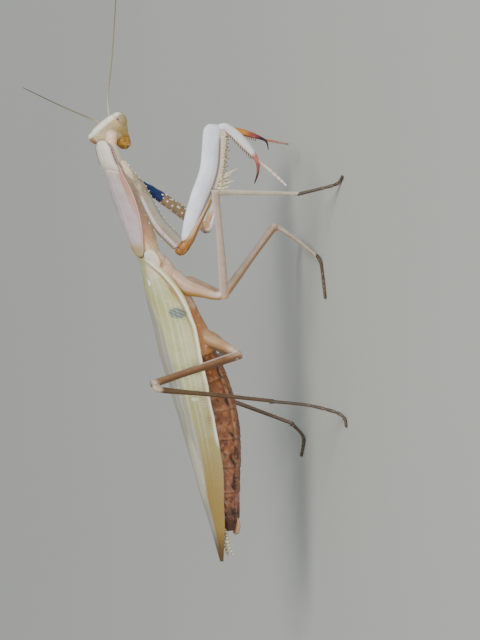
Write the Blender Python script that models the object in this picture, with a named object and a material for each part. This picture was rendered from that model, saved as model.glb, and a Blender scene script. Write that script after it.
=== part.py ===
"""A praying mantis standing on four legs, its head turned to its left. Metres, Z up, head towards -Y."""

import math

import bmesh
import bpy
import numpy as np
from mathutils import Vector

MM = 0.001

# The whole model is built round the trunk, then moved so that its box is centred on the origin.
CENTRE_SHIFT = Vector((-6.62, 12.365, 0.0))

TRUNK_ROLL = math.radians(14.0)
PRONOTUM_ROLL = math.radians(24.0)
ROOT_GAP = 0.25
WING_THICKNESS = 0.5
SHIELD_THICKNESS = 0.5
FEELER_RADIUS = 0.25
END_DEPTH = 0.14

# Trunk rows: along Y, height of the axis, half width, half height above and below the axis.
PROTHORAX = [
    (-25.9, 31.1, 1.10, 0.80, 1.10),
    (-23.0, 30.2, 1.50, 0.88, 1.35),
    (-19.8, 29.0, 1.75, 0.88, 1.65),
    (-15.5, 27.4, 1.65, 0.85, 2.10),
    (-11.75, 26.2, 1.55, 0.75, 2.50),
]
THORAX = [
    (-11.3, 25.6, 1.35, 0.85, 1.60),
    (-9.1, 24.0, 1.95, 1.30, 2.30),
    (-4.2, 21.9, 2.70, 2.70, 2.45),
    (-0.6, 20.1, 3.05, 3.65, 2.75),
    (3.0, 18.8, 3.15, 4.00, 2.90),
]
ABDOMEN = [
    (3.2, 18.75, 3.10, 3.95, 2.85),
    (7.8, 16.9, 3.20, 4.65, 3.10),
    (12.0, 15.7, 3.15, 4.60, 3.10),
    (16.0, 15.1, 3.00, 3.90, 2.90),
    (20.5, 14.8, 2.65, 2.85, 2.50),
    (24.0, 14.5, 2.20, 2.00, 2.15),
    (26.4, 14.2, 1.75, 1.45, 1.80),
    (28.0, 14.0, 1.00, 0.80, 1.05),
]
# Shield rows: along Y, height of the axis, half width, height of the ridge, drop of the edge.
PRONOTUM = [
    (-26.4, 31.3, 0.80, 1.10, 0.25),
    (-25.8, 31.15, 1.65, 1.42, 0.60),
    (-24.4, 30.8, 2.05, 1.50, 0.75),
    (-22.2, 29.95, 2.20, 1.50, 0.80),
    (-19.5, 28.95, 2.65, 1.50, 0.95),
    (-17.0, 28.0, 2.60, 1.50, 0.95),
    (-14.6, 27.2, 2.30, 1.50, 0.85),
    (-12.2, 26.5, 1.70, 1.40, 0.60),
    (-10.3, 26.0, 0.85, 1.10, 0.25),
]
# Wing rows: along Y, height of the back line over the trunk's axis, half width, drop of the front edge.
WINGS = [
    (-10.0, 2.15, 1.40, 0.50),
    (-8.4, 2.55, 2.40, 1.90),
    (-5.2, 3.44, 3.50, 3.70),
    (-1.2, 4.45, 3.90, 4.25),
    (6.3, 5.46, 3.95, 3.90),
    (10.6, 5.59, 3.85, 3.45),
    (14.7, 5.09, 3.60, 3.10),
    (20.1, 3.87, 3.10, 2.60),
    (25.2, 2.81, 2.30, 1.67),
    (30.0, 1.80, 1.25, 0.85),
    (32.4, 1.42, 0.45, 0.25),
]
TRUNK_END = (33.0, 13.6)
WING_ARCH = 2.8
WING_SEAM = 0.9

HEAD_CENTRE = Vector((0.50, -27.9, 30.6))
HEAD_FACE = Vector((0.7402, -0.6723, 0.0021))
HEAD_LEFT = Vector((0.5360, 0.5917, 0.6021))
# Head rows: distance from the middle, top, bottom, half thickness.
HEAD_ROWS = [
    (0.00, 1.98, -2.20, 1.15),
    (0.50, 1.97, -2.15, 1.15),
    (1.00, 1.95, -1.95, 1.12),
    (1.50, 1.92, -1.45, 1.06),
    (1.90, 1.88, -0.95, 0.98),
    (2.25, 1.82, -0.62, 0.90),
]
EYE_BULGE = 1.08
EYE_ROOT = 2.31
EYE_TOP = 1.80
EYE_BOTTOM = -0.60
EYE_HALF_THICKNESS = 0.88
NECK_END = Vector((0.0, -26.05, 31.1))
# Mouthparts rows: distance below the head's middle, half width, half thickness, set-back.
MOUTH_ROWS = [
    (2.26, 0.84, 0.86, 0.24),
    (2.70, 0.90, 0.98, 0.30),
    (3.35, 0.84, 0.90, 0.34),
    (3.95, 0.50, 0.55, 0.36),
]

# Legs: joint by joint, then the foot's last point. Fore legs are raised, the others reach the floor.
FORE_RIGHT = {
    "coxa": [(-2.4, -22.5, 28.65), (-2.9, -20.1, 27.6), (-4.0, -16.4, 25.75), (-5.3, -11.7, 22.5)],
    "femur": [(-5.5, -10.9, 21.1), (-5.8, -13.7, 20.4), (-6.1, -18.2, 19.1), (-6.4, -22.6, 17.8), (-6.6, -28.1, 17.5)],
    "tibia": [(-6.3, -28.3, 15.6), (-5.5, -26.5, 13.35), (-4.6, -24.1, 11.05)],
    "claw": [(-4.3, -22.3, 10.6), (-4.0, -20.6, 11.0)],
    "tarsus": [(-4.5, -24.3, 10.2), (-4.9, -21.4, 7.9), (-5.4, -20.0, 6.78)],
}
FORE_LEFT = {
    "coxa": [(1.8, -21.0, 26.9), (3.1, -17.8, 21.7), (4.3, -14.8, 17.2)],
    "femur": [(4.8, -14.1, 15.9), (8.2, -17.8, 14.55), (12.0, -23.2, 13.1), (15.0, -27.7, 11.9)],
    "tibia": [(15.5, -28.2, 10.5), (13.0, -27.8, 8.8), (10.2, -27.1, 7.2)],
    "claw": [(8.4, -26.5, 6.5), (7.0, -25.4, 6.5)],
    "tarsus": [(10.5, -26.8, 6.5), (12.0, -26.5, 4.4), (13.9, -26.2, 2.2)],
}
MID_RIGHT = {
    "coxa": [(-1.8, -6.6, 21.0), (-3.2, -5.45, 18.6), (-4.4, -4.8, 16.6)],
    "femur": [(-4.8, -4.9, 15.6), (-6.2, -10.5, 16.3), (-7.9, -18.9, 17.5)],
    "tibia": [(-8.0, -19.45, 16.85), (-7.5, -19.2, 11.5), (-7.0, -19.0, 5.6)],
    "tarsus": [(-7.15, -19.05, 5.2), (-9.2, -20.2, 1.0), (-10.2, -20.8, 0.2), (-11.4, -21.4, 0.2)],
}
MID_LEFT = {
    "coxa": [(1.6, -6.5, 19.8), (2.6, -5.6, 16.6), (3.3, -5.1, 14.2)],
    "femur": [(3.6, -5.4, 13.3), (7.0, -9.2, 9.7), (11.5, -14.2, 4.9)],
    "tibia": [(11.8, -14.4, 3.9), (7.0, -12.5, 2.2), (2.4, -10.5, 0.8)],
    "tarsus": [(2.05, -10.35, 0.62), (1.5, -9.5, 0.25), (0.9, -8.5, 0.2), (-0.2, -6.4, 0.2), (-1.0, -4.6, 0.2)],
}
HIND_RIGHT = {
    "coxa": [(-1.8, 0.9, 17.6), (-3.0, 2.1, 15.5), (-4.0, 3.1, 13.9)],
    "femur": [(-4.7, 3.6, 13.7), (-7.6, 5.2, 19.4), (-11.8, 7.4, 27.3)],
    "tibia": [(-12.4, 8.25, 27.1), (-11.8, 9.1, 19.0), (-11.1, 9.9, 10.6)],
    "tarsus": [(-11.15, 9.95, 10.18), (-12.1, 10.5, 5.2), (-12.9, 11.5, 1.4), (-13.3, 12.4, 0.3), (-13.7, 13.4, 0.2)],
}
HIND_LEFT = {
    "coxa": [(1.7, 1.0, 16.4), (2.6, 2.1, 14.6), (3.2, 3.0, 13.2)],
    "femur": [(3.9, 3.2, 13.1), (10.5, 4.9, 14.6), (18.4, 6.8, 16.3)],
    "tibia": [(18.8, 7.6, 15.6), (14.6, 10.2, 9.4), (10.2, 13.0, 2.7)],
    "tarsus": [(10.25, 13.2, 2.35), (11.2, 14.8, 0.6), (12.4, 16.2, 0.2), (13.6, 17.6, 0.2)],
}
# Half widths along each leg part from its near end to its far end: in the leg's plane, across it.
FORE_SIZES = {
    "coxa": [(0.80, 0.62), (0.98, 0.78), (1.06, 0.76), (0.78, 0.64)],
    "femur": [(0.90, 0.62), (1.25, 0.80), (1.68, 0.82), (1.72, 0.78), (1.74, 0.74), (1.35, 0.64)],
    "tibia": [(0.50, 0.48), (0.66, 0.52), (0.68, 0.50), (0.50, 0.40), (0.33, 0.30), (0.18, 0.17)],
    "tarsus": [(0.30, 0.30), (0.26, 0.26), (0.25, 0.25), (0.20, 0.20)],
}
WALK_SIZES = {
    "coxa": [(1.25, 1.05), (1.05, 0.90), (0.80, 0.72), (0.62, 0.60)],
    "femur": [(0.55, 0.52), (0.56, 0.50), (0.46, 0.42), (0.42, 0.40), (0.48, 0.46)],
    "tibia": [(0.48, 0.44), (0.38, 0.35), (0.32, 0.30), (0.28, 0.27), (0.27, 0.26)],
    "tarsus": [(0.27, 0.26), (0.25, 0.25), (0.26, 0.27), (0.22, 0.25)],
}
SPINE_COUNT = 4
SPINE_LENGTH = 1.7
SPINE_SPAN = (0.33, 0.66)


def spot(v):
    return Vector(v)


def smooth_curve(points, count):
    """An even run of points on a Catmull-Rom curve through the given ones."""
    knots = [spot(p) for p in points]
    knots = [knots[0] * 2 - knots[1]] + knots + [knots[-1] * 2 - knots[-2]]
    fine = []
    for i in range(1, len(knots) - 2):
        a, b, c, d = knots[i - 1 : i + 3]
        for step in range(24):
            t = step / 24
            fine.append(
                0.5
                * (
                    2 * b
                    + (c - a) * t
                    + (2 * a - 5 * b + 4 * c - d) * t * t
                    + (3 * b - a - 3 * c + d) * t ** 3
                )
            )
    fine.append(knots[-2])
    lengths = np.cumsum([0.0] + [(q - p).length for p, q in zip(fine, fine[1:])])
    wanted = np.linspace(0.0, lengths[-1], count)
    table = np.array([tuple(p) for p in fine])
    return [Vector([float(np.interp(w, lengths, table[:, k])) for k in range(3)]) for w in wanted]


def read_rows(rows, count):
    """The rows' columns, smoothed and sampled evenly along the first one."""
    table = np.array(rows, float)
    where = np.linspace(table[0, 0], table[-1, 0], count)
    slopes = np.gradient(table, table[:, 0], axis=0)
    result = np.empty((count, table.shape[1]))
    for n, y in enumerate(where):
        i = min(np.searchsorted(table[:, 0], y, side="right"), len(table) - 1)
        low, high = table[i - 1], table[i]
        span = high[0] - low[0]
        t = (y - low[0]) / span
        result[n] = (
            low * (1 + 2 * t) * (1 - t) ** 2
            + high * t * t * (3 - 2 * t)
            + span * (slopes[i - 1] * t * (1 - t) ** 2 - slopes[i] * t * t * (1 - t))
        )
    return result


def add_material(obj, colour, roughness):
    material = bpy.data.materials.new(obj.name)
    material.use_nodes = True
    shader = material.node_tree.nodes["Principled BSDF"]
    shader.inputs["Base Color"].default_value = (*colour, 1.0)
    shader.inputs["Roughness"].default_value = roughness
    shader.inputs["Metallic"].default_value = 0.0
    obj.data.materials.append(material)


def add_object(name, bm, colour, roughness):
    """Turns the mesh into an object whose origin is the mesh's first point."""
    bmesh.ops.recalc_face_normals(bm, faces=bm.faces)
    bm.verts.ensure_lookup_table()
    root = bm.verts[0].co.copy()
    for vertex in bm.verts:
        vertex.co = (vertex.co - root) * MM
    mesh = bpy.data.meshes.new(name)
    bm.to_mesh(mesh)
    bm.free()
    mesh.shade_smooth()
    mesh.set_sharp_from_angle(angle=math.radians(50.0))
    obj = bpy.data.objects.new(name, mesh)
    obj.location = (root + CENTRE_SHIFT) * MM
    bpy.context.scene.collection.objects.link(obj)
    add_material(obj, colour, roughness)
    return obj


def join_rings(rings):
    """A closed mesh through the rings, its two ends filled."""
    bm = bmesh.new()
    made = [[bm.verts.new(p) for p in ring] for ring in rings]
    for near, far in zip(made, made[1:]):
        for i in range(len(near)):
            j = (i + 1) % len(near)
            bm.faces.new((near[i], near[j], far[j], far[i]))
    for ring in (made[0], made[-1]):
        middle = bm.verts.new(sum((v.co for v in ring), Vector()) / len(ring))
        for i in range(len(ring)):
            bm.faces.new((ring[i], ring[(i + 1) % len(ring)], middle))
    return bm


def rounded_ends(path, sizes, depth):
    """Adds a smaller ring beyond each end of a path, so that it ends round."""
    first = (path[0] - path[1]).normalized()
    last = (path[-1] - path[-2]).normalized()
    path = [path[0] + first * depth] + path + [path[-1] + last * depth]
    near = (sizes[0][0] * 0.55, sizes[0][1] * 0.55)
    far = (sizes[-1][0] * 0.55, sizes[-1][1] * 0.55)
    return path, [near] + sizes + [far]


def tube_rings(path, sizes, across, sides):
    """Rings square to the path; each is an ellipse whose second half width points as near to across as it can."""
    rings = []
    for i, point in enumerate(path):
        along = (path[min(i + 1, len(path) - 1)] - path[max(i - 1, 0)]).normalized()
        broad = across.cross(along).normalized()
        thin = along.cross(broad).normalized()
        ring = []
        for k in range(sides):
            turn = 2 * math.pi * k / sides
            ring.append(point + broad * (sizes[i][0] * math.cos(turn)) + thin * (sizes[i][1] * math.sin(turn)))
        rings.append(ring)
    return rings


def spread(sizes, count):
    table = np.array(sizes, float)
    where = np.linspace(0, len(table) - 1, count)
    return [tuple(float(np.interp(w, range(len(table)), table[:, k])) for k in range(2)) for w in where]


def tube(points, sizes, across, count, sides, depth=END_DEPTH):
    """A round-ended tube along a smooth curve; gives back its mesh and its path."""
    path = smooth_curve(points, count)
    path, widths = rounded_ends(path, spread(sizes, count), depth)
    return join_rings(tube_rings(path, widths, across, sides)), path


def trunk_part(name, rows, roll, count, sides, colour):
    lateral = Vector((math.cos(roll), 0.0, math.sin(roll)))
    up = Vector((-math.sin(roll), 0.0, math.cos(roll)))
    table = read_rows(rows, count)
    centres = [Vector((0.0, row[0], row[1])) for row in table]
    rings = []
    for i, row in enumerate(table):
        along = (centres[min(i + 1, count - 1)] - centres[max(i - 1, 0)]).normalized()
        dorsal = (up - along * up.dot(along)).normalized()
        ring = []
        for k in range(sides):
            turn = 2 * math.pi * k / sides
            height = row[3] if math.sin(turn) > 0 else row[4]
            ring.append(centres[i] + lateral * (row[2] * math.cos(turn)) + dorsal * (height * math.sin(turn)))
        rings.append(ring)
    add_object(name, join_rings(rings), colour, 0.5)


def shield():
    """The pronotum: an arched plate that bends down at both edges."""
    lateral = Vector((math.cos(PRONOTUM_ROLL), 0.0, math.sin(PRONOTUM_ROLL)))
    up = Vector((-math.sin(PRONOTUM_ROLL), 0.0, math.cos(PRONOTUM_ROLL)))
    rings = []
    for y, z, half, ridge, drop in read_rows(PRONOTUM, 15):
        outer = []
        inner = []
        for k in range(11):
            side = k / 5 - 1
            rise = ridge - drop * abs(side) ** 2.2
            centre = Vector((0.0, y, z))
            outer.append(centre + lateral * (half * side) + up * rise)
            inner.append(centre + lateral * (half * 0.94 * side) + up * (rise - SHIELD_THICKNESS))
        rings.append(outer + inner[::-1])
    add_object("pronotum", join_rings(rings), (0.80, 0.76, 0.76), 0.45)


def wing(name, start, end, count, colour):
    """One folded forewing: a strip of the arch over the back, from one side position to the other."""
    lateral = Vector((math.cos(TRUNK_ROLL), 0.0, math.sin(TRUNK_ROLL)))
    up = Vector((-math.sin(TRUNK_ROLL), 0.0, math.cos(TRUNK_ROLL)))
    rings = []
    axis = np.array([row[:2] for row in THORAX + ABDOMEN[1:-1]] + [TRUNK_END])
    for y, height, half, drop in read_rows(WINGS, 21):
        top = Vector((0.0, y, float(np.interp(y, axis[:, 0], axis[:, 1])))) + up * height
        low = start if start < 0 else min(WING_SEAM / half, 0.75) + 0.05 / half
        high = end if end > 0.99 else min(WING_SEAM / half, 0.75) - 0.05 / half
        outer = []
        inner = []
        for k in range(count):
            side = low + (high - low) * k / (count - 1)
            fall = drop * abs(side) ** WING_ARCH
            slope = WING_ARCH * drop * abs(side) ** (WING_ARCH - 1) * math.copysign(1, side) / half
            normal = Vector((slope, 1.0)).normalized() * min(WING_THICKNESS, half * 0.5)
            outer.append(top + lateral * (half * side) - up * fall)
            inner.append(top + lateral * (half * side - normal.x) - up * (fall + normal.y))
        rings.append(outer + inner[::-1])
    add_object(name, join_rings(rings), colour, 0.4)


def head_point(left, up, face):
    above = HEAD_FACE.cross(HEAD_LEFT).normalized()
    return HEAD_CENTRE + HEAD_LEFT * left + above * up + HEAD_FACE * face


def head():
    rows = [(-row[0], *row[1:]) for row in HEAD_ROWS[:0:-1]] + HEAD_ROWS
    rings = []
    for left, top, bottom, thick in read_rows(rows, 17):
        middle = (top + bottom) / 2
        tall = (top - bottom) / 2
        ring = []
        for k in range(16):
            turn = 2 * math.pi * k / 16
            ring.append(head_point(left, middle + tall * math.sin(turn), thick * math.cos(turn)))
        rings.append(ring)
    add_object("head", join_rings(rings), (0.80, 0.74, 0.58), 0.45)


def eye(name, side):
    rings = []
    middle = (EYE_TOP + EYE_BOTTOM) / 2
    tall = (EYE_TOP - EYE_BOTTOM) / 2
    for step in range(7):
        turn = math.pi / 2 * step / 6.6
        size = math.cos(turn) ** 0.8
        ring = []
        for k in range(16):
            round_turn = 2 * math.pi * k / 16
            ring.append(
                head_point(
                    side * (EYE_ROOT + EYE_BULGE * math.sin(turn)),
                    middle + tall * size * math.sin(round_turn),
                    EYE_HALF_THICKNESS * size * math.cos(round_turn),
                )
            )
        rings.append(ring)
    add_object(name, join_rings(rings), (0.72, 0.70, 0.60), 0.25)


def mouthparts():
    rings = []
    for down, half, thick, back in read_rows(MOUTH_ROWS, 7):
        ring = []
        for k in range(12):
            turn = 2 * math.pi * k / 12
            ring.append(head_point(half * math.cos(turn), -down, thick * math.sin(turn) - back))
        rings.append(ring)
    add_object("mouthparts", join_rings(rings), (0.62, 0.42, 0.12), 0.4)


def neck():
    """A short wedge from the back of the head to the front of the trunk."""
    above = HEAD_FACE.cross(HEAD_LEFT).normalized()
    forward = Vector((0.0, -0.95, 0.30)).normalized()
    lateral = (HEAD_LEFT - forward * HEAD_LEFT.dot(forward)).normalized()
    upward = forward.cross(lateral)
    back = head_point(0.0, -0.15, -1.30)
    rings = []
    for step in range(5):
        t = step / 4
        ring = []
        for k in range(14):
            turn = 2 * math.pi * k / 14
            near = back + (HEAD_LEFT * math.cos(turn) + above * math.sin(turn)) * 0.90
            far = NECK_END + (lateral * math.cos(turn) + upward * math.sin(turn)) * 0.85
            ring.append(near.lerp(far, t))
        rings.append(ring)
    add_object("neck", join_rings(rings), (0.82, 0.76, 0.70), 0.6)


def feeler(name, points):
    sizes = [(FEELER_RADIUS, FEELER_RADIUS)] * 2
    bm, _ = tube(points, sizes, Vector((0.2, 0.1, 1.0)), 15, 6)
    add_object(name, bm, (0.25, 0.20, 0.14), 0.5)


def cercus(name, side):
    points = [(0.75 * side, 28.45, 14.2), (1.3 * side, 30.0, 13.9), (1.5 * side, 31.4, 13.3)]
    bm, _ = tube(points, [(0.30, 0.30), (0.36, 0.34), (0.26, 0.25)], Vector((0.0, 0.0, 1.0)), 7, 8)
    add_object(name, bm, (0.80, 0.76, 0.68), 0.5)


def grow_spines(bm, path, count):
    """Pulls spikes out of the femur's inner edge, each a tapered extrusion of one of its faces."""
    sides = 12
    first = 1 + round(SPINE_SPAN[0] * (count - 1))
    last = 1 + round(SPINE_SPAN[1] * (count - 1))
    inner = (path[-1] - path[0]).normalized()
    bm.faces.ensure_lookup_table()
    roots = [bm.faces[ring * sides + (0 if ring % 2 else sides - 1)] for ring in range(first, last)]
    for n, face in enumerate(roots[:SPINE_COUNT]):
        normal = face.normal.copy()
        grown = bmesh.ops.extrude_discrete_faces(bm, faces=[face])["faces"][0]
        centre = grown.calc_center_median()
        length = SPINE_LENGTH * (1.0 if n % 2 else 0.7)
        for vertex in grown.verts:
            vertex.co = centre + (vertex.co - centre) * 0.35 + (normal + inner * 0.35) * length


def clear_of_trunk(bm, rows, roll):
    """Moves the points that lie inside the trunk out to its surface, so that a leg's root fits against it."""
    lateral = Vector((math.cos(roll), 0.0, math.sin(roll)))
    up = Vector((-math.sin(roll), 0.0, math.cos(roll)))
    table = np.array(rows)
    for vertex in bm.verts:
        y, z, half, above, below = [float(np.interp(vertex.co.y, table[:, 0], table[:, k])) for k in range(5)]
        offset = vertex.co - Vector((0.0, vertex.co.y, z))
        side = offset.dot(lateral) / (half + ROOT_GAP)
        rise = offset.dot(up)
        rise = rise / ((above if rise > 0 else below) + ROOT_GAP)
        depth = math.hypot(side, rise)
        if depth < 1.0:
            vertex.co += offset * (1.0 / max(depth, 0.2) - 1.0)


def leg(name, joints, sizes, colours, is_fore):
    shoulder = spot(joints["coxa"][0])
    knee = spot(joints["femur"][-1])
    ankle = spot(joints["tibia"][-1])
    bend = (knee - spot(joints["femur"][0])).cross(ankle - knee).normalized()
    swing = (spot(joints["coxa"][-1]) - shoulder).cross(knee - shoulder).normalized()
    for part in ("coxa", "femur", "tibia", "tarsus"):
        count = {"coxa": 7, "femur": 13 if is_fore else 9, "tibia": 9, "tarsus": 7}[part]
        sides = 12 if is_fore and part != "tarsus" else 8
        across = swing if part == "coxa" else bend
        points = joints[part]
        if is_fore and part == "tibia":
            points = points + joints["claw"]
            count = 13
        bm, path = tube(points, sizes[part], across, count, sides)
        if part == "tarsus" and not is_fore:
            for vertex in bm.verts:
                vertex.co.z = max(vertex.co.z, 0.0)
        if part == "femur" and is_fore:
            bm.normal_update()
            grow_spines(bm, path, count)
        if part == "coxa":
            clear_of_trunk(bm, PROTHORAX if is_fore else THORAX, PRONOTUM_ROLL if is_fore else TRUNK_ROLL)
        add_object(f"{name}_{part}", bm, colours[part], 0.45)


for old in list(bpy.data.objects):
    bpy.data.objects.remove(old, do_unlink=True)

trunk_part("prothorax", PROTHORAX, PRONOTUM_ROLL, 11, 14, (0.72, 0.55, 0.42))
trunk_part("thorax", THORAX, TRUNK_ROLL, 11, 16, (0.74, 0.56, 0.42))
trunk_part("abdomen", ABDOMEN, TRUNK_ROLL, 17, 18, (0.42, 0.22, 0.13))
shield()
wing("forewing_right", -1.0, 0.0, 10, (0.76, 0.74, 0.56))
wing("forewing_left", 0.0, 1.0, 7, (0.76, 0.74, 0.58))
head()
eye("eye_left", 1)
eye("eye_right", -1)
mouthparts()
neck()
feeler("antenna_right", [(1.15, -29.6, 30.6), (1.6, -32.6, 30.8), (1.9, -37.4, 30.2), (2.2, -45.0, 29.6), (2.6, -57.0, 28.8)])
feeler("antenna_left", [(1.75, -29.1, 31.4), (4.6, -29.6, 32.6), (14.0, -31.4, 34.6), (27.0, -34.0, 37.0)])
cercus("cercus_left", 1)
cercus("cercus_right", -1)

FORE_COLOURS = {
    "coxa": (0.70, 0.66, 0.60),
    "femur": (0.78, 0.76, 0.80),
    "tibia": (0.78, 0.70, 0.66),
    "tarsus": (0.72, 0.42, 0.36),
}
WALK_COLOURS = {
    "coxa": (0.74, 0.58, 0.46),
    "femur": (0.68, 0.56, 0.50),
    "tibia": (0.60, 0.48, 0.44),
    "tarsus": (0.50, 0.38, 0.36),
}
leg("fore_right", FORE_RIGHT, FORE_SIZES, FORE_COLOURS, True)
leg("fore_left", FORE_LEFT, FORE_SIZES, FORE_COLOURS, True)
leg("mid_right", MID_RIGHT, WALK_SIZES, WALK_COLOURS, False)
leg("mid_left", MID_LEFT, WALK_SIZES, WALK_COLOURS, False)
leg("hind_right", HIND_RIGHT, WALK_SIZES, WALK_COLOURS, False)
leg("hind_left", HIND_LEFT, WALK_SIZES, WALK_COLOURS, False)
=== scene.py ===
import math
import random

import bmesh
import bpy
import numpy as np
from mathutils import Matrix


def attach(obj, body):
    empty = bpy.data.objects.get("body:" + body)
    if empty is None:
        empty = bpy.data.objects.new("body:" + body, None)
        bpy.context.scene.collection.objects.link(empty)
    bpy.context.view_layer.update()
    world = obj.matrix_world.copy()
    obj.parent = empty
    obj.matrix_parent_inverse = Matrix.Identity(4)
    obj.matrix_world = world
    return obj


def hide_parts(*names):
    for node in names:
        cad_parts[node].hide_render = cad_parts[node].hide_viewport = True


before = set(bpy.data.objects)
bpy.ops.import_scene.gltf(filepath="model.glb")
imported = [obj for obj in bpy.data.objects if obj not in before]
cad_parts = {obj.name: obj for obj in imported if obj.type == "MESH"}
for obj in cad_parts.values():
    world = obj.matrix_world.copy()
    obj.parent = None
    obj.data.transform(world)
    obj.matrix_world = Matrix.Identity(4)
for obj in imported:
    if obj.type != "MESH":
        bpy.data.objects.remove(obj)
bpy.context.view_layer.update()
print("frame loaded with", len(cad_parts), "solids")

trunkAt = np.array([-6.62, 12.365, 0.0])  # mm, where the trunk's axis stands in the frame
mm = 0.001
random.seed(7)


# shapes: every point below is in mm, head towards -Y, the trunk's axis at X = 0

def unit(v):
    v = np.asarray(v, float)
    return v / np.maximum(np.linalg.norm(v, axis=-1, keepdims=True), 1e-9)


def ease(low, high, x):
    t = np.clip((np.asarray(x, float) - low) / (high - low), 0.0, 1.0)
    return t * t * (3 - 2 * t)


def hump(x, centre, width):
    return np.exp(-(((x - centre) / width) ** 2))


def turnsOf(sides):  # even angles round a circle
    return np.linspace(0, 2 * math.pi, sides, endpoint=False)


def turnGap(turn, degrees):  # how far round from a direction, in degrees
    return np.abs((np.degrees(turn) - degrees + 180) % 360 - 180)


def stacked(*values):  # grids of numbers as one grid of vectors
    return np.stack(np.broadcast_arrays(*values), -1)


# ridges and grooves that run along a tube: degrees round it, width in degrees, height in mm
def ribs(turn, rows):
    return sum(high * hump(turnGap(turn, where), 0, wide) for where, wide, high in rows)


def bothSides(where, wide, high):
    return [(where, wide, high), (-where, wide, high)]


def beats(t, count, sharpness):  # 1 at each of a number of even joints, 0 between them
    return (0.5 + 0.5 * np.cos(t * 2 * math.pi * count)) ** sharpness


def curveThrough(points):  # an even run of points on a smooth curve, and the distance of each
    knots = np.array(points, float)
    knots = np.vstack([2 * knots[0] - knots[1], knots, 2 * knots[-1] - knots[-2]])
    t = np.linspace(0, 1, 24, endpoint=False)[:, None]
    fine = [
        0.5 * (2 * b + (c - a) * t + (2 * a - 5 * b + 4 * c - d) * t ** 2 + (3 * b - a - 3 * c + d) * t ** 3)
        for a, b, c, d in zip(knots, knots[1:], knots[2:], knots[3:])
    ]
    fine = np.vstack(fine + [knots[-2:-1]])
    steps = np.linalg.norm(np.diff(fine, axis=0), axis=1)
    return fine, np.concatenate([[0.0], np.cumsum(steps)])


def rowsAt(rows, where):  # the rows' columns, smoothed, at the given places along the first one
    table = np.array(rows, float)
    slopes = np.gradient(table, table[:, 0], axis=0)
    i = np.clip(np.searchsorted(table[:, 0], where, side="right"), 1, len(table) - 1)
    low, high = table[i - 1], table[i]
    span = high[:, :1] - low[:, :1]
    t = (np.asarray(where)[:, None] - low[:, :1]) / span
    return (
        low * (1 + 2 * t) * (1 - t) ** 2
        + high * t * t * (3 - 2 * t)
        + span * (slopes[i - 1] * t * (1 - t) ** 2 - slopes[i] * t * t * (1 - t))
    )


# rings of points as a closed skin, with what its finish needs at each point
def partOf(grid, lay, marks=None):
    n, m = grid.shape[:2]
    index = np.arange(n * m).reshape(n, m)
    near, far = index[:-1], index[1:]
    faces = np.stack([near, np.roll(near, -1, 1), np.roll(far, -1, 1), far], -1).reshape(-1, 4).tolist()
    marks = np.zeros(3) if marks is None else marks
    values = [np.broadcast_to(a, (n, m, 3)) for a in (grid, lay, marks)]
    layers = [a.reshape(-1, 3) for a in values]
    for row in (0, n - 1):
        layers = [np.vstack([a, b[row].mean(0)]) for a, b in zip(layers, values)]
        tip = len(layers[0]) - 1
        faces += [[int(index[row, k]), int(index[row, (k + 1) % m]), tip] for k in range(m)]
    return {"points": layers[0], "lay": layers[1], "marks": layers[2], "faces": faces}


def plateOf(outer, inner, lay, marks):  # a plate with an outer and an inner face
    pairs = ((outer, inner), (lay, lay), (marks, marks))
    return partOf(*[np.concatenate([a, b[:, ::-1]], 1) for a, b in pairs])


def addObject(name, data):
    made = bpy.data.objects.new(name, data)
    bpy.context.scene.collection.objects.link(made)
    return made


def makePiece(name, parts, material, stands=()):
    whole = {key: np.vstack([p[key] for p in parts]) for key in ("points", "lay", "marks")}
    faces, start = [], 0
    for part in parts:
        faces += [[corner + start for corner in face] for face in part["faces"]]
        start += len(part["points"])
    mesh = bpy.data.meshes.new(name)
    mesh.from_pydata(((whole["points"] + trunkAt) * mm).tolist(), [], faces)
    bm = bmesh.new()
    bm.from_mesh(mesh)
    bmesh.ops.recalc_face_normals(bm, faces=bm.faces)
    bm.to_mesh(mesh)
    bm.free()
    for label in ("lay", "marks"):
        layer = mesh.attributes.new(label, "FLOAT_VECTOR", "POINT")
        layer.data.foreach_set("vector", whole[label].astype(np.float32).ravel())
    mesh.shade_smooth()
    mesh.materials.append(material)
    piece = addObject(name, mesh)
    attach(piece, "root")
    if stands:
        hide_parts(*stands)


def tube(points, sizes, across, rings=48, sides=28, cap=0.25, reach=(0.14, 0.14), shape=None, marking=None):
    points = np.array(points, float)
    first = points[0] - unit(points[1] - points[0]) * reach[0]
    last = points[-1] + unit(points[-1] - points[-2]) * reach[1]
    fine, travelled = curveThrough(np.vstack([first, points, last]))
    length = travelled[-1]
    ends = cap * (1 - np.cos(np.linspace(0, math.pi / 2, 7)))
    where = np.concatenate([ends[:-1], np.linspace(cap, length - cap, rings), length - ends[::-1][1:]])
    path = np.column_stack([np.interp(where, travelled, fine[:, k]) for k in range(3)])
    along = unit(np.gradient(path, where, axis=0))
    broad = unit(np.cross(np.array(across, float), along))
    thin = unit(np.cross(along, broad))
    t = where / length
    table = np.column_stack([np.linspace(0, 1, len(sizes)), np.array(sizes, float)])
    half = rowsAt(table, t)[:, 1:]
    close = np.sqrt(np.clip(1 - (1 - np.minimum(where, length - where) / cap) ** 2, 0, 1))
    close = np.where((where > cap) & (where < length - cap), 1.0, np.maximum(close, 0.05))
    turn = turnsOf(sides)
    extra = shape(t[:, None], turn[None, :]) if shape else 0.0
    c, s = np.cos(turn)[None, :], np.sin(turn)[None, :]
    grid = (
        path[:, None]
        + broad[:, None] * ((half[:, :1] + extra) * close[:, None] * c)[..., None]
        + thin[:, None] * ((half[:, 1:] + extra) * close[:, None] * s)[..., None]
    )
    lay = stacked(t[:, None], c, s)
    marks = marking(t[:, None], turn[None, :]) if marking else None
    part = partOf(grid, lay, marks)
    part.update(grid=grid, path=path, t=t, along=along)
    return part


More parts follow.
